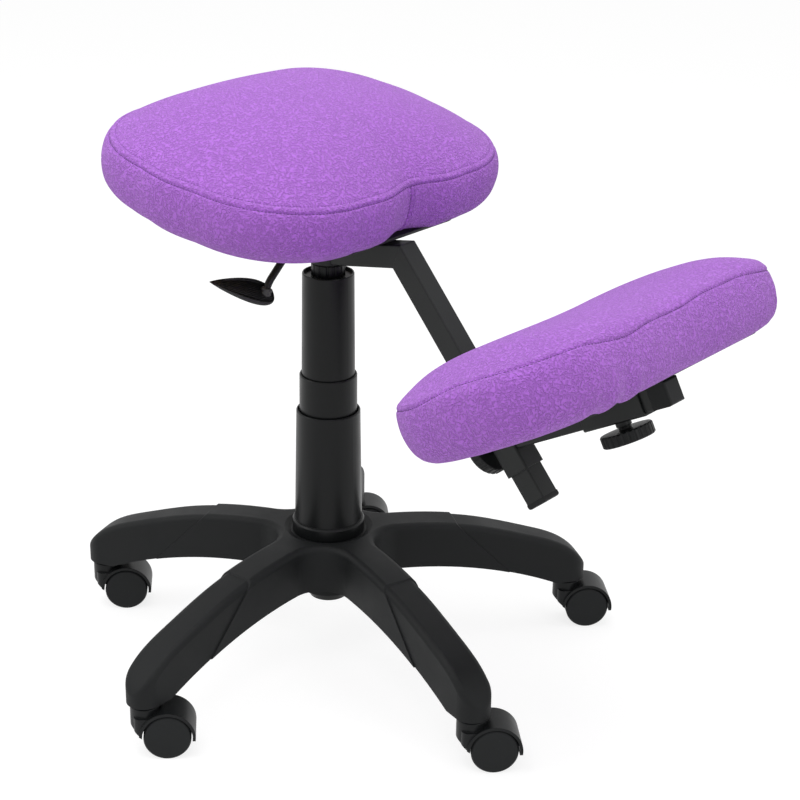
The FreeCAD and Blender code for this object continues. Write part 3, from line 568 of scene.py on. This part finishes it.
class Sheet:
    """Node tree of one material, with short calls for the nodes that the finishes share."""

    def __init__(self, name):
        self.material = bpy.data.materials.new(name)
        self.material.use_nodes = True
        self.tree = self.material.node_tree
        self.tree.nodes.clear()
        self.out = self.tree.nodes.new("ShaderNodeOutputMaterial")
        self.shader = self.tree.nodes.new("ShaderNodeBsdfPrincipled")
        self.tree.links.new(self.shader.outputs[0], self.out.inputs["Surface"])
        self.coords = self.tree.nodes.new("ShaderNodeTexCoord").outputs["Object"]

    def node(self, kind, inputs=None, **settings):
        """Adds a node, sets or links its inputs, and sets its other values."""
        n = self.tree.nodes.new(kind)
        for key, value in settings.items():
            setattr(n, key, value)
        for key, value in (inputs or {}).items():
            if isinstance(value, bpy.types.NodeSocket):
                self.tree.links.new(value, n.inputs[key])
            else:
                n.inputs[key].default_value = value
        return n

    def mapped(self, scale, turn=(0, 0, 0)):
        """Object coordinates, stretched and turned."""
        inputs = {"Vector": self.coords, "Scale": scale, "Rotation": turn}
        return self.node("ShaderNodeMapping", inputs).outputs[0]

    def noise(self, scale, detail=2.0, rough=0.5, warp=0.0, vector=None):
        """Cloudy noise."""
        inputs = {
            "Vector": vector or self.coords, "Scale": scale, "Detail": detail, "Roughness": rough,
            "Distortion": warp}
        return self.node("ShaderNodeTexNoise", inputs).outputs["Fac"]

    def cells(self, scale, randomness=1.0):
        """Distance from the nearest of many scattered points."""
        inputs = {"Vector": self.coords, "Scale": scale, "Randomness": randomness}
        return self.node("ShaderNodeTexVoronoi", inputs).outputs["Distance"]

    def maths(self, kind, a, b=0.5, clamp=False):
        """Sum, product or another result of two values."""
        return self.node("ShaderNodeMath", {0: a, 1: b}, operation=kind, use_clamp=clamp).outputs[0]

    def ramp(self, fac, low, high, a=0.0, b=1.0):
        """Stretches the range from low to high onto the range from a to b."""
        inputs = {"Value": fac, "From Min": low, "From Max": high, "To Min": a, "To Max": b}
        return self.node("ShaderNodeMapRange", inputs).outputs[0]

    def mix(self, fac, a, b):
        """Blends two colours."""
        n = self.node("ShaderNodeMix", data_type="RGBA")
        for socket, value in ((n.inputs[0], fac), (n.inputs[6], a), (n.inputs[7], b)):
            if isinstance(value, bpy.types.NodeSocket):
                self.tree.links.new(value, socket)
            else:
                socket.default_value = value if isinstance(value, float) else (*value[:3], 1.0)
        return n.outputs[2]

    def bump(self, height, strength, distance, normal=None):
        """Normal bent by a height."""
        inputs = {"Height": height, "Strength": strength, "Distance": distance}
        if normal is not None:
            inputs["Normal"] = normal
        return self.node("ShaderNodeBump", inputs).outputs[0]

    def rounded(self, radius):
        """Normal of an edge as if it were rounded by the radius."""
        return self.node("ShaderNodeBevel", {"Radius": radius}, samples=6).outputs[0]

    def set(self, **values):
        """Sets or links inputs of the main shader, with an underscore for each blank in a name."""
        for key, value in values.items():
            socket = self.shader.inputs[key.replace("_", " ")]
            if isinstance(value, bpy.types.NodeSocket):
                self.tree.links.new(value, socket)
            elif isinstance(value, (tuple, list)) and len(value) == 3 and socket.type == "RGBA":
                socket.default_value = (*value, 1.0)
            else:
                socket.default_value = value


def shade(colour, factor):
    """A colour made lighter or darker."""
    return tuple(min(1.0, c * factor) for c in colour)


def crepe_cloth(colour):
    """Soft woven crepe: short wriggly ridges a few millimetres long, with painted shade in the hollows
    between them and a faint painted highlight on the ridges."""
    s = Sheet("crepe_cloth")
    warp = s.noise(90.0, 2.0)
    wriggle = s.node("ShaderNodeTexNoise", {"Vector": s.coords, "Scale": 160.0, "Detail": 1.0})
    drift = {0: wriggle.outputs["Color"], 1: (0.0022, 0.0022, 0.0022)}
    drift = s.node("ShaderNodeVectorMath", drift, operation="MULTIPLY").outputs[0]
    shifted = s.node("ShaderNodeVectorMath", {0: s.coords, 1: drift}, operation="ADD").outputs[0]
    worms = s.noise(430.0, 0.0, 0.4, 0.8, shifted)
    ridge = s.ramp(worms, 0.36, 0.60)
    yarn = s.noise(1400.0, 1.0, 0.5)
    height = s.maths("ADD", s.maths("MULTIPLY", ridge, 0.8), s.maths("MULTIPLY", yarn, 0.25))
    fade = s.ramp(s.noise(14.0, 2.0), 0.35, 0.65)
    # Painted shade darkens the hollows between the ridges, and a faint painted highlight lightens the
    # ridges.
    hollow_shade, pale = shade(colour, 0.78), shade(colour, 1.07)
    tone = s.mix(s.ramp(ridge, 0.0, 1.0, 0.15, 1.0), hollow_shade, pale)
    tone = s.mix(s.maths("MULTIPLY", fade, 0.16), tone, shade(colour, 0.9))
    tone = s.mix(s.ramp(warp, 0.3, 0.7, 0.0, 0.14), tone, shade(colour, 1.15))
    s.set(
        Base_Color=tone, Roughness=s.ramp(ridge, 0.0, 1.0, 0.95, 0.82), Normal=s.bump(height, 1.0, 0.0014),
        Sheen_Weight=0.25, Sheen_Roughness=0.55, Sheen_Tint=(0.9, 0.72, 1.0), Specular_IOR_Level=0.25)
    return s.material


def sewing_thread(name, colour, dark, pale):
    """Twisted thread in two shades of the cloth's colour."""
    s = Sheet(name)
    twist = s.noise(2600.0, 1.0)
    tone = s.mix(twist, shade(colour, dark), shade(colour, pale))
    s.set(Base_Color=tone, Roughness=0.7, Normal=s.bump(twist, 0.4, 0.0003))
    return s.material


def moulded_plastic(name, colour, grain=900.0, depth=0.25, rough=(0.42, 0.56), scuffs=0.0):
    """Moulded plastic: spark-grain bump, uneven gloss, faint pale scuffs, edges that catch the light."""
    s = Sheet(name)
    fine = s.noise(grain, 2.0, 0.6)
    cloud = s.noise(22.0, 3.0, 0.55)
    blotch = s.ramp(cloud, 0.35, 0.65)
    tone = s.mix(blotch, shade(colour, 0.88), shade(colour, 1.14))
    scratch = s.noise(60.0, 3.0, vector=s.mapped((1, 14, 3), (0.3, 0.5, 0.9)))
    mark = s.ramp(scratch, 0.66, 0.74)
    tone = s.mix(s.maths("MULTIPLY", mark, scuffs), tone, shade(colour, 2.4))
    gloss = s.ramp(cloud, 0.3, 0.7, *rough)
    normal = s.bump(fine, depth, 0.0003, s.rounded(MOULD_EDGE))
    s.set(Base_Color=tone, Roughness=gloss, Normal=normal, Specular_IOR_Level=0.20)
    return s.material


def powder_paint(name, colour, rough=(0.36, 0.48)):
    """Baked powder paint on steel: a fine orange-peel surface, and edges lightened in patches, partly as
    rubbed wear and partly as a painted highlight.
    """
    s = Sheet(name)
    peel = s.noise(650.0, 2.0, 0.5)
    speck = s.cells(1500.0)
    height = s.maths("ADD", peel, s.maths("MULTIPLY", speck, 0.3))
    cloud = s.ramp(s.noise(30.0, 3.0), 0.3, 0.7)
    soft = s.rounded(0.0012)
    flat = s.node("ShaderNodeNewGeometry").outputs["Normal"]
    bend = s.node("ShaderNodeVectorMath", {0: soft, 1: flat}, operation="DOT_PRODUCT").outputs["Value"]
    # Edges lightened in patches: partly rubbed wear, partly a painted highlight along the edges.
    worn_and_lit_edge = s.maths("MULTIPLY", s.ramp(bend, 0.995, 0.90), s.ramp(s.noise(220.0, 3.0), 0.45, 0.7))
    tone = s.mix(cloud, shade(colour, 0.9), shade(colour, 1.12))
    tone = s.mix(s.maths("MULTIPLY", worn_and_lit_edge, 0.35, True), tone, shade(colour, 3.2))
    gloss = s.ramp(cloud, 0.0, 1.0, *rough)
    normal = s.bump(height, 0.18, 0.0004, soft)
    s.set(Base_Color=tone, Roughness=gloss, Normal=normal, Specular_IOR_Level=0.28)
    return s.material


def bare_steel(name, colour=(0.48, 0.48, 0.47), rough=(0.22, 0.36)):
    """Bright metal: long fine polishing marks and uneven gloss."""
    s = Sheet(name)
    lines = s.noise(240.0, 2.0, vector=s.mapped((1, 1, 12)))
    tone = s.mix(s.noise(60.0, 2.0), shade(colour, 0.86), shade(colour, 1.1))
    normal = s.bump(lines, 0.08, 0.0002, s.rounded(0.0004))
    s.set(Base_Color=tone, Metallic=1.0, Roughness=s.ramp(lines, 0.3, 0.7, *rough), Normal=normal)
    return s.material


def plywood(colour):
    """Plywood board: long grain on the faces, thin dark and pale layers on the edge."""
    s = Sheet("plywood")
    grain = s.noise(1.6, 5.0, 0.5, 0.6, s.mapped((60, 5, 60)))
    pores = s.noise(1.0, 1.0, vector=s.mapped((900, 60, 900)))
    tone = s.mix(s.ramp(grain, 0.35, 0.65), shade(colour, 0.72), shade(colour, 1.15))
    tone = s.mix(s.ramp(pores, 0.62, 0.75, 0.0, 0.6), tone, shade(colour, 0.45))
    s.set(Base_Color=tone, Roughness=0.72, Normal=s.bump(s.maths("ADD", grain, pores), 0.25, 0.0004))
    return s.material


def soft_rubber(name, colour=(0.012, 0.012, 0.012)):
    """Matt rubber with a dusty bloom."""
    s = Sheet(name)
    bloom = s.noise(120.0, 3.0)
    tone = s.mix(bloom, colour, shade(colour, 2.0))
    gloss = s.ramp(bloom, 0.3, 0.7, 0.7, 0.9)
    s.set(Base_Color=tone, Roughness=gloss, Normal=s.bump(s.noise(1500.0), 0.2, 0.0002))
    return s.material


def dotted_grip(colour):
    """Lever paddle: plastic whose surface has rows of tiny raised dots, their tops painted paler as a
    highlight.
    """
    s = Sheet("dotted_grip")
    dots = s.ramp(s.cells(620.0, randomness=0.12), 0.15, 0.45, 1.0, 0.0)
    cloud = s.noise(40.0, 2.0)
    # The raised dots are painted paler: a painted highlight on their tops.
    tone = s.mix(s.maths("MULTIPLY", dots, 0.5), shade(colour, 0.8), shade(colour, 2.0))
    gloss = s.ramp(cloud, 0.3, 0.7, 0.34, 0.46)
    s.set(Base_Color=tone, Roughness=gloss, Normal=s.bump(dots, 0.5, 0.0004, s.rounded(MOULD_EDGE)))
    return s.material


def is_called(node, names):
    """Whether a piece has one of the names, by itself or with a number after it."""
    stem, _, number = node.rpartition("_")
    return node in names or (number.isdigit() and stem in names)


def dress(material, *names):
    """Gives a finish to construction pieces, by name or by the name before their number."""
    found = [n for n in NODES if is_called(n, names)]
    if not found:
        raise RuntimeError("no piece is called " + ", ".join(names))
    for n in found:
        mesh = NODES[n].data
        mesh.materials.clear()
        mesh.materials.append(material)


# Operators


class UpholsterSeat(bpy.types.Operator):
    """Makes the seat pad: crowned top panel, side panel with a pleat at the front, thread in the seams and
    the pleat's grooves, its dark colour partly the painted shade of those grooves
    """

    bl_idname = "kneeling_chair.upholster_seat"
    bl_label = "Upholster seat"

    def execute(self, context):
        size = context.scene.seat_pad
        fabric = context.scene.chair_colours.fabric
        shares = fine_columns(420)
        rows = pad_rows()
        half = np.array([size.half_depth - SEAT_RIM[0], size.half_width - SEAT_RIM[1]])
        board = pad_outline(half, size.corner - SEAT_RIM_CORNER, 0.010, 0.004, shares)
        skin, run, seam = rounded_skin(
            size, rows, shares, board, SEAT_RECESS, slack=0.0, spread=0.003, reach=0.009)
        normal = grid_normals(skin)
        push = np.zeros(skin.shape[:2])
        for at, height, width in SEAT_RELIEF:
            push += height * bump_line(run - at, width)
        pucker = ripple(shares, seed=7, waves=14, low=60, high=150)
        push += 0.00035 * pucker[None, :] * np.exp(-abs(run) / 0.009)
        slack = ripple(shares, seed=9, waves=8, low=5, high=19)
        push += 0.0006 * slack[None, :] * bump_line(run + 0.020, 0.018)
        side = (rows >= 1.0) & (rows <= 2.0)
        y = skin[:, :, 1]
        front = (skin[:, :, 0] > 0) & side[:, None]
        fade = np.clip((rows - 1.0) / 0.08, 0, 1)[:, None]
        for at, height, width in PLEAT:
            push += np.where(front, height * bump_line(y - at, width), 0) * fade
        skin = skin + normal * push[..., None]
        obj = closed_surface("seat_pad", to_world(skin, SEAT_PLACE, size.centre, size.base))
        obj.data.materials.append(crepe_cloth(fabric))
        # Both threads are darker than the cloth: partly their own colour, partly the painted shade of the
        # seam's groove and of the crease at the strip's inner edge.
        dark = sewing_thread("seam_thread", fabric, 0.16, 0.30)
        pale = sewing_thread("edge_thread", fabric, 0.50, 0.75)
        for name, distance, material, radius in (
                ("seat_seam_thread", 0.0, dark, 0.00034), ("seat_stitches", STRIP_WIDTH, pale, 0.00028)):
            line, out = level_line(skin, run, distance), level_line(normal, run, distance)
            sew(name, line + out * SEAM_LIFT, out, SEAT_PLACE, size, "seat", material, radius=radius)
        # Dark thread along each groove of the pleat: its dark colour paints the grooves' shade.
        level = (rows >= 1.10) & (rows <= 2.0)
        below = seam - 20
        for name, place in (("pleat_thread_shade_left", PLEAT[0][0]), ("pleat_thread_shade_right", PLEAT[2][0])):
            column = int(np.argmin(abs(y[below] - place) + (skin[below, :, 0] < 0)))
            line, out = skin[level, column], normal[level, column]
            sew(
                name, line + out * PLEAT_LIFT, out, SEAT_PLACE, size, "seat", dark,
                radius=0.00045, closed=False)
        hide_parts("seat_cushion")
        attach(obj, "seat")
        return {"FINISHED"}


class UpholsterKneePad(bpy.types.Operator):
    """Makes the knee pad: a low crown, a wandering seam and slack folds under it"""

    bl_idname = "kneeling_chair.upholster_knee_pad"
    bl_label = "Upholster knee pad"

    def execute(self, context):
        size = context.scene.knee_pad
        shares = fine_columns(440)
        board = pad_outline(np.array(KNEE_BOARD), KNEE_BOARD_CORNER, 0.0, 0.0004, shares)
        skin, run, seam = rounded_skin(
            size, pad_rows(), shares, board, KNEE_RECESS, slack=0.001, spread=0.008, reach=0.022)
        normal = grid_normals(skin)
        push = np.zeros(skin.shape[:2])
        x, y, z = np.moveaxis(skin, -1, 0)
        wander = smooth_steps(y[seam], SEAM_PLACES, SEAM_DRIFT)
        back = np.clip((0.03 - x[seam]) / 0.08, 0, 1)
        back = back * back * (3 - 2 * back)
        wander = wander * (1 - back) - 0.003 * back
        for at, height, width in KNEE_RELIEF:
            push += height * bump_line(run - wander - at, width)
        pucker = ripple(shares, seed=3, waves=14, low=60, high=150)
        push += 0.0005 * pucker[None, :] * np.exp(-abs(run - wander) / 0.010)
        slack = ripple(shares, seed=5, waves=9, low=6, high=24)
        push += 0.0011 * slack[None, :] * bump_line(run + 0.026, 0.020)
        push += np.where(x > 0, folds(y, z, GATHERS, width=0.007, middle=0.004, reach=0.020), 0)
        push += np.where(x > 0, folds(y, z, END_FOLDS, width=0.0028, middle=0.024, reach=0.020), 0)
        skin = skin + normal * push[..., None]
        obj = closed_surface("knee_pad", to_world(skin, KNEE_PLACE, size.centre, size.base))
        obj.data.materials.append(bpy.data.materials["crepe_cloth"])
        line, out = level_line(skin, run, wander), level_line(normal, run, wander)
        # The dark seam thread is partly the thread's own colour and partly the painted shade of the seam's
        # groove.
        thread = bpy.data.materials["seam_thread"]
        sew("knee_seam_thread", line + out * SEAM_LIFT, out, KNEE_PLACE, size, "pad", thread)
        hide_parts("knee_cushion")
        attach(obj, "pad")
        return {"FINISHED"}


class FinishBase(bpy.types.Operator):
    """Gives the star base, the column covers and the casters their moulded plastic"""

    bl_idname = "kneeling_chair.finish_base"
    bl_label = "Finish base"

    def execute(self, context):
        colour = context.scene.chair_colours.plastic
        dress(moulded_plastic("base_plastic", colour, 1000.0, 0.35, (0.50, 0.62), 0.25), "base_star")
        dress(
            moulded_plastic("cover_plastic", shade(colour, 0.7), 1300.0, 0.15, (0.30, 0.40), 0.15),
            "lower_cover", "middle_cover", "upper_cover", "cover_crown")
        dress(moulded_plastic("hood_plastic", colour, 1300.0, 0.15, (0.34, 0.44), 0.3), "caster_hood")
        dress(
            moulded_plastic("wheel_plastic", shade(colour, 1.45), 900.0, 0.3, (0.46, 0.58), 0.4),
            "wheel_a", "wheel_b")
        dress(bare_steel("pin_steel"), "caster_pins")
        return {"FINISHED"}


class FinishFrame(bpy.types.Operator):
    """Paints the steel tubes, plates and column, and finishes the bright metal"""

    bl_idname = "kneeling_chair.finish_frame"
    bl_label = "Finish frame"

    def execute(self, context):
        colour = context.scene.chair_colours.paint
        dress(
            powder_paint("frame_paint", colour),
            "top_tube", "down_tube", "gas_socket", "knee_collar", "knee_bar", "pad_sleeve", "knee_plate",
            "seat_plate", "seat_bracket", "lever_rod")
        dress(
            powder_paint("column_paint", shade(colour, 0.9), (0.25, 0.35)),
            "gas_outer_tube", "gas_cylinder")
        dress(
            bare_steel("screw_steel"),
            "seat_bolts", "knee_screws", "screw_upper", "screw_lower", "shoe_upper", "shoe_lower",
            "lever_pin", "thrust_bearing", "retaining_clip", "release_button")
        dress(bare_steel("rod_chrome", (0.62, 0.62, 0.62), (0.08, 0.16)), "piston_rod")
        dress(moulded_plastic("bush_plastic", (0.5, 0.48, 0.42), 900.0, 0.2), "guide_bush")
        dress(soft_rubber("buffer_rubber"), "bump_buffer")
        return {"FINISHED"}


class FinishControls(bpy.types.Operator):
    """Finishes the hand knobs, the lever's grip and the tube plugs"""

    bl_idname = "kneeling_chair.finish_controls"
    bl_label = "Finish controls"

    def execute(self, context):
        colour = context.scene.chair_colours.plastic
        dress(
            moulded_plastic("knob_plastic", colour, 1100.0, 0.25, (0.34, 0.46), 0.2),
            "knob_upper", "knob_lower")
        dress(
            moulded_plastic("plug_plastic", shade(colour, 1.1), 1100.0, 0.25, (0.42, 0.52), 0.2),
            "tube_end_cap", "bar_end_cap")
        dress(dotted_grip(colour), "lever_grip")
        return {"FINISHED"}


class MouldGrip(bpy.types.Operator):
    """Models the lever's paddle, a leaf with a rim round a dotted hollow, and its collar on the rod"""

    bl_idname = "kneeling_chair.mould_grip"
    bl_label = "Mould grip"

    def execute(self, context):
        size = context.scene.lever_paddle
        root, tip, down = (np.array(v) for v in (GRIP_ROOT, GRIP_TIP, GRIP_DOWN))
        length = np.linalg.norm(tip - root)
        along = (tip - root) / length
        level = np.cross(along, np.array([0.0, 0.0, 1.0]))
        level /= np.linalg.norm(level)
        across = level * math.cos(size.roll) + np.cross(level, along) * math.sin(size.roll)
        face = np.cross(along, across)
        face *= np.sign(face[2])
        t = (1 - np.cos(np.linspace(0.03, 1, 44) * math.pi * 0.98)) / 2
        wide = size.half_width * np.sin(math.pi * t**0.55) ** 0.8
        fullness = 0.35 + 0.65 * np.sin(math.pi * t**0.7)
        thick = size.half_thick * fullness * np.minimum(1, wide / (0.4 * size.half_width))
        a = np.arange(72) * 2 * math.pi / 72
        u, v = np.cos(a), np.sign(np.sin(a)) * abs(np.sin(a)) ** 0.75
        hollow = np.clip((0.80 - abs(u)) / 0.12, 0, 1) * (v > 0)
        dish = size.dish * hollow[None, :] * np.clip((wide[:, None] / size.half_width - 0.35) / 0.2, 0, 1)
        centre = root + along * (t * (length + 0.012) - 0.011)[:, None]
        aside = across * (u[None, :] * wide[:, None])[..., None]
        above = face * (v[None, :] * thick[:, None] - dish)[..., None]
        paddle = closed_surface("grip_paddle", centre[:, None] + aside + above)
        spin = np.cross(down, np.array([1.0, 0.0, 0.0]))
        ring = np.outer(np.cos(a), np.array([1.0, 0.0, 0.0])) + np.outer(np.sin(a), spin)
        place, share = np.array(COLLAR_PROFILE).T
        radius = size.collar * share
        middle = root - down * 0.006 + down * place[:, None, None]
        sleeve = closed_surface("grip_collar", middle + ring[None] * radius[:, None, None])
        dotted, plain = bpy.data.materials["dotted_grip"], bpy.data.materials["knob_plastic"]
        for obj, material in ((paddle, dotted), (sleeve, plain)):
            face_outwards(obj)
            obj.data.materials.append(material)
            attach(obj, "lever")
        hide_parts("lever_grip")
        return {"FINISHED"}


class FinishBoards(bpy.types.Operator):
    """Finishes the plywood boards under the pads"""

    bl_idname = "kneeling_chair.finish_boards"
    bl_label = "Finish boards"

    def execute(self, context):
        dress(plywood(context.scene.chair_colours.wood), "seat_board", "knee_board")
        return {"FINISHED"}


def direct_rays(tree):
    """One for a ray that comes from the camera, off a glossy surface or through glass, and nought for
    others."""
    path = tree.nodes.new("ShaderNodeLightPath")
    total = path.outputs["Is Camera Ray"]
    for kind in ("Is Glossy Ray", "Is Transmission Ray"):
        larger = tree.nodes.new("ShaderNodeMath")
        larger.operation = "MAXIMUM"
        tree.links.new(total, larger.inputs[0])
        tree.links.new(path.outputs[kind], larger.inputs[1])
        total = larger.outputs[0]
    return total


def soft_box(name, place, size, power):
    """Square lamp that faces the chair."""
    lamp = bpy.data.lights.new(name, "AREA")
    lamp.shape, lamp.size, lamp.size_y = "RECTANGLE", size[0], size[1]
    lamp.energy = power
    obj = bpy.data.objects.new(name, lamp)
    bpy.context.scene.collection.objects.link(obj)
    obj.location = place
    obj.rotation_euler = (Vector(LAMP_AIM) - Vector(place)).to_track_quat("-Z", "Y").to_euler()


class SetStage(bpy.types.Operator):
    """Sets the pale floor, the even light and the camera"""

    bl_idname = "kneeling_chair.set_stage"
    bl_label = "Set stage"

    def execute(self, context):
        stage = context.scene.chair_stage
        r = FLOOR_REACH
        corners = [(-r, -r, 0), (r, -r, 0), (r, r, 0), (-r, r, 0)]
        floor = mesh_object("floor", corners, [(0, 1, 2, 3)], False)
        floor.data.materials.append(self.floor_paint())
        world = bpy.data.worlds.new("sky")
        context.scene.world = world
        world.use_nodes = True
        tree = world.node_tree
        tree.nodes.clear()
        out = tree.nodes.new("ShaderNodeOutputWorld")
        dim, white = tree.nodes.new("ShaderNodeBackground"), tree.nodes.new("ShaderNodeBackground")
        for light, strength in ((dim, stage.sky), (white, 1.0)):
            light.inputs["Color"].default_value = (1, 1, 1, 1)
            light.inputs["Strength"].default_value = strength
        blend = tree.nodes.new("ShaderNodeMixShader")
        tree.links.new(direct_rays(tree), blend.inputs[0])
        tree.links.new(dim.outputs[0], blend.inputs[1])
        tree.links.new(white.outputs[0], blend.inputs[2])
        tree.links.new(blend.outputs[0], out.inputs["Surface"])
        for lamp in LAMPS:
            soft_box(*lamp)
        lens = bpy.data.cameras.new("camera")
        lens.lens, lens.sensor_width = stage.lens, 36.0
        lens.clip_start, lens.clip_end = 0.05, 60.0
        camera = bpy.data.objects.new("camera", lens)
        context.scene.collection.objects.link(camera)
        turn = (
            Matrix.Rotation(stage.heading, 4, "Z")
            @ Matrix.Rotation(math.pi / 2 - stage.dip, 4, "X")
            @ Matrix.Rotation(stage.roll, 4, "Z"))
        camera.matrix_world = Matrix.Translation(stage.camera_place) @ turn
        context.scene.camera = camera
        context.scene.view_settings.view_transform = "Standard"
        return {"FINISHED"}

    def floor_paint(self):
        """White floor that keeps a soft shadow. Direct rays see a darker paint with an even glow on it;
        light that bounces off it meets plain pale paint."""
        s = Sheet("floor_paint")
        tree = s.tree
        plain = s.node("ShaderNodeBsdfDiffuse", {"Color": (0.8, 0.8, 0.8, 1)})
        faint = s.node("ShaderNodeBsdfDiffuse", {"Color": (0.30, 0.30, 0.30, 1)})
        glow = s.node("ShaderNodeEmission", {"Color": (1, 1, 1, 1), "Strength": 0.80})
        seen = s.node("ShaderNodeAddShader", {0: faint.outputs[0], 1: glow.outputs[0]})
        inputs = {0: direct_rays(tree), 1: plain.outputs[0], 2: seen.outputs[0]}
        blend = s.node("ShaderNodeMixShader", inputs)
        tree.links.new(blend.outputs[0], s.out.inputs["Surface"])
        tree.nodes.remove(s.shader)
        return s.material


class ChairPanel(bpy.types.Panel):
    """Lists the steps that dress the chair"""

    bl_idname = "VIEW3D_PT_kneeling_chair"
    bl_label = "Kneeling chair"
    bl_space_type = "VIEW_3D"
    bl_region_type = "UI"
    bl_category = "Kneeling chair"

    def draw(self, context):
        for step in STEPS:
            self.layout.operator(step.bl_idname)
        for group in HOLDERS:
            box = self.layout.box()
            for key in getattr(context.scene, group).__annotations__:
                box.prop(getattr(context.scene, group), key)


STEPS = (
    SetStage, UpholsterSeat, UpholsterKneePad, FinishBase, FinishFrame, FinishControls, MouldGrip,
    FinishBoards)
GROUPS = (PadSizes, GripSizes, ChairColours, StageSettings)
HOLDERS = {
    "seat_pad": PadSizes, "knee_pad": PadSizes, "lever_paddle": GripSizes,
    "chair_colours": ChairColours, "chair_stage": StageSettings}
KNEE_PAD = {
    "centre": 0.177, "base": -0.20302, "half_depth": 0.119, "half_width": 0.231, "corner": 0.102,
    "band": 0.061, "crown": 0.026, "roundness": 4.0, "notch": 0.004, "bow": 0.003,
    "low_inset": 0.016, "seam_inset": 0.004, "saddle": 0.005, "sag": 0.0035}


def register():
    for group in GROUPS + STEPS + (ChairPanel,):
        bpy.utils.register_class(group)
    for name, group in HOLDERS.items():
        setattr(bpy.types.Scene, name, bpy.props.PointerProperty(type=group))


def unregister():
    for name in HOLDERS:
        delattr(bpy.types.Scene, name)
    for group in reversed(GROUPS + STEPS + (ChairPanel,)):
        bpy.utils.unregister_class(group)


def main():
    """Registers the steps, sets the knee pad's sizes and runs the steps in order."""
    register()
    for key, value in KNEE_PAD.items():
        setattr(bpy.context.scene.knee_pad, key, value)
    for step in STEPS:
        group, name = step.bl_idname.split(".")
        getattr(getattr(bpy.ops, group), name)()


if __name__ == "__main__":
    main()
